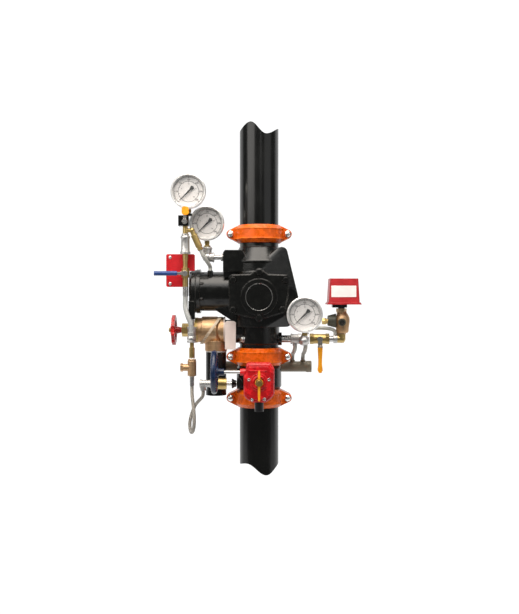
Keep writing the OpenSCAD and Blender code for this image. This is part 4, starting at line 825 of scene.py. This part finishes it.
ELBOW_TOP = [(8, 5), (13.4, 5), (13.6, 17), (15.2, 18), (15.8, 20), (15.2, 22.2), (13.0, 23.4), (8, 23.4)]
ELBOW_SIDE = [(8, 0), (12.6, 0), (12.8, 9), (14.4, 10), (15.0, 12), (14.4, 14), (12.4, 15), (8, 15)]
COLLAR = [(6.9, 0), (9.4, 0), (10.8, 1), (10.8, 5), (9.4, 6), (6.9, 6)]
REDUCER = [(8, 0), (13.4, 0), (14.0, 2), (12.8, 5), (12.4, 40), (13.6, 43), (13.6, 47), (12.2, 49), (8, 49)]
BULB = [(11, 0), (15.5, 1), (18.2, 5), (18.8, 16), (20.4, 26), (21.6, 36), (20.8, 46), (16.5, 55),
        (13, 60), (11, 64)]
NUT = [(6, 0), (10.2, 0), (10.6, 0.6), (10.6, 11), (10.2, 11.6), (8.6, 12), (8.6, 17), (6, 17)]
SQUARE_PLUG = [(0.1, 0), (7.6, 0), (7.6, 2.4), (6.6, 3.6), (3.2, 3.6), (2.8, 1.6), (0.1, 1.6)]
CUP = [(6.2, 0), (13.4, 0), (14.2, 1.2), (13.8, 3.0), (10.2, 8.0), (9.4, 13), (6.2, 13)]
turned("elbow_top_band", ELBOW_TOP, (-152, -20, 606), UP, *ZINC)
turned("elbow_body", ball(14.6, 15), (-152, -20, 601.5), UP, *ZINC, 48, closed=False)
turned("elbow_side_band", ELBOW_SIDE, (-146, -20, 600.25), RIGHT, *ZINC)
turned("elbow_collar", COLLAR, (-112, -20, 600.25), RIGHT, *ZINC)
turned("reducer_body", REDUCER, (-212, -62, 611), UP, *ZINC)
turned("check_bulb", BULB, (246, -1, 378), UP, bronze, "bronze")
turned("check_nut", NUT, (186, 0, 413), RIGHT, brass, "brass", 6)
turned("check_plug", SQUARE_PLUG, (243, -25.6, 410.7), FRONT, *BLACK, 8, closed=False)
turned("tee_ball", ball(13, 13), (128.5, -24, 355.5), UP, *ZINC, 48, closed=False)
turned("supply_cup", CUP, (-79, -50, 234), RIGHT, *BLACK)

# %% Plate screws and tag
DOME = [(0.1, 0), (5.0, 0), (4.6, 1.4), (3.2, 2.6), (1.4, 3.1), (0.1, 3.2)]
for name, z in (("plate_screw_low", 523.1), ("plate_screw_high", 599.1)):
    turned(name, DOME, (-257.4, -46.5, z), FRONT, steel, "plated_steel", 32, closed=False)
TAG = (tag_card, "tag_card")
CARD_LINE = [(-99, 333), (-67.5, 331.5), (-67, 410), (-73, 415), (-93, 415), (-99.4, 410)]
card = slab("tag_card_bare", CARD_LINE, -43.2, -44.2, 0.3, *TAG)
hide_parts("hang_tag")
turned("tag_loop", [(38, 0), (39.2, 0), (39.2, 3), (38, 3)], (-103.2, 0, 387), RIGHT, *TAG, 96)
print("fitting bodies ready")

# %% [markdown]
# The diaphragm inside the chamber is a soft solid that the CAD draws at rest. Its rim is
# clamped under the cover, and its middle travels 16 mm with the push rod. It is drawn as a
# rolling diaphragm: the cup rides on the rod, and its skirt is as long as the rod's travel,
# so it still reaches the rim when the rod is right back.

# %% Rolling diaphragm
low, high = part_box("diaphragm")
rod_height = (low[2] + high[2]) / 2 / MM
RUBBER = (rubber, "rubber", 96)
RIM = [(39.6, 0), (63, 0), (63, 2), (39.6, 2)]
SKIRTED = [(0.1, -0.4), (37.4, -0.4), (39.0, 0.8), (39.0, 16.2), (38.2, 16.2), (38.2, 0.8), (37.2, 0.4),
           (0.1, 0.4)]
rim = turned("diaphragm_rim", RIM, (-184.8, 0, rod_height), RIGHT, *RUBBER)
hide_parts("diaphragm")
turned("diaphragm_cup", SKIRTED, (-182.8, 0, rod_height), RIGHT, *RUBBER, body="rod")
print("rolling diaphragm at height", round(rod_height, 1))

# %% [markdown]
# The studio: a pale floor and backdrop in one sheet, five soft lamps and an even world. The
# sheet is white to the camera and in reflections, and the world is white to the camera alone, so
# the picture has the white ground of a catalogue, while the object is lit at a plain level.

# %% Studio
FLOOR_Z, FLOOR_FRONT, BACK_Y = -0.9, -1.3, 2.2
WHITE_LEVEL = 1.1


def white_ground(name, level):
    """White to the camera, to glossy rays and to rays that went through glass, and matte to light."""
    mat, w = start(name)
    seen, mirror, through = (w.node("LightPath", out=k) for k in (0, 3, 6))
    shown = (seen + mirror + through).clip()
    _, _, height = axes(w)
    share = shown * (height.between(FLOOR_Z + 0.02, FLOOR_Z + 0.5) * 0.15 + 0.85)
    matte = w.node("BsdfDiffuse", None, {"Color": (0.86, 0.86, 0.86, 1)})
    glow = w.node("Emission", None, {"Color": (1, 1, 1, 1), "Strength": level})
    both = w.node("MixShader", None, {0: share, 1: matte, 2: glow})
    w.node("OutputMaterial", None, {"Surface": both})
    return mat


bm = bmesh.new()
profile = [(FLOOR_FRONT, FLOOR_Z), (BACK_Y - 1.0, FLOOR_Z)]
for a in (math.radians(q) for q in range(10, 91, 10)):
    profile.append((BACK_Y - 1.0 + math.sin(a), FLOOR_Z + 1 - math.cos(a)))
profile.append((BACK_Y, 4.5))
left = [bm.verts.new((-6, y, z)) for y, z in profile]
right = [bm.verts.new((6, y, z)) for y, z in profile]
for i in range(len(profile) - 1):
    bm.faces.new((left[i], right[i], right[i + 1], left[i + 1]))
sweep_mesh = to_mesh(bm, "backdrop", mend=False)
backdrop = bpy.data.objects.new("backdrop", sweep_mesh)
bpy.context.scene.collection.objects.link(backdrop)
sweep_mesh.materials.append(white_ground("studio_white", WHITE_LEVEL))
sweep_mesh.shade_smooth()


def lamp(name, spot, aim, size, power, tint=(1, 1, 1)):
    data = bpy.data.lights.new(name, "AREA")
    data.shape, data.size, data.size_y = "RECTANGLE", size[0], size[1]
    data.energy, data.color = power, tint
    ob = bpy.data.objects.new(name, data)
    ob.location = spot
    ob.rotation_euler = (Vector(aim) - Vector(spot)).to_track_quat("-Z", "Y").to_euler()
    bpy.context.scene.collection.objects.link(ob)
    return ob


lamp("key_left", (-1.75, -1.5, 1.75), (0, 0, 1.0), (2.0, 1.8), 36, (1.0, 0.97, 0.93))
lamp("front_high", (-0.2, -2.3, 2.3), (0, 0, 0.5), (1.6, 0.8), 12, (1.0, 0.98, 0.95))
lamp("top_soft", (0.0, -0.7, 2.35), (0, 0, 0.5), (2.4, 1.7), 80, (1.0, 0.93, 0.85))
lamp("fill_right", (2.0, -1.6, 1.2), (0, 0, 0.5), (2.0, 2.0), 9)
lamp("front_strip", (0.42, -2.5, 1.75), (0, 0, 0.9), (0.14, 1.3), 1.6)
world = bpy.data.worlds.new("studio")
bpy.context.scene.world = world
world.use_nodes = True
world.node_tree.nodes.clear()
w = Wire(world.node_tree)
sky = w.node("Background", None, {"Color": (1, 1, 1, 1), "Strength": 0.15})
paper = w.node("Background", None, {"Color": (1, 1, 1, 1), "Strength": WHITE_LEVEL})
either = w.node("MixShader", None, {0: w.node("LightPath", out=0), 1: sky, 2: paper})
w.node("OutputWorld", None, {"Surface": either})
bpy.context.scene.view_settings.view_transform = "Standard"
print("studio ready")

# %% [markdown]
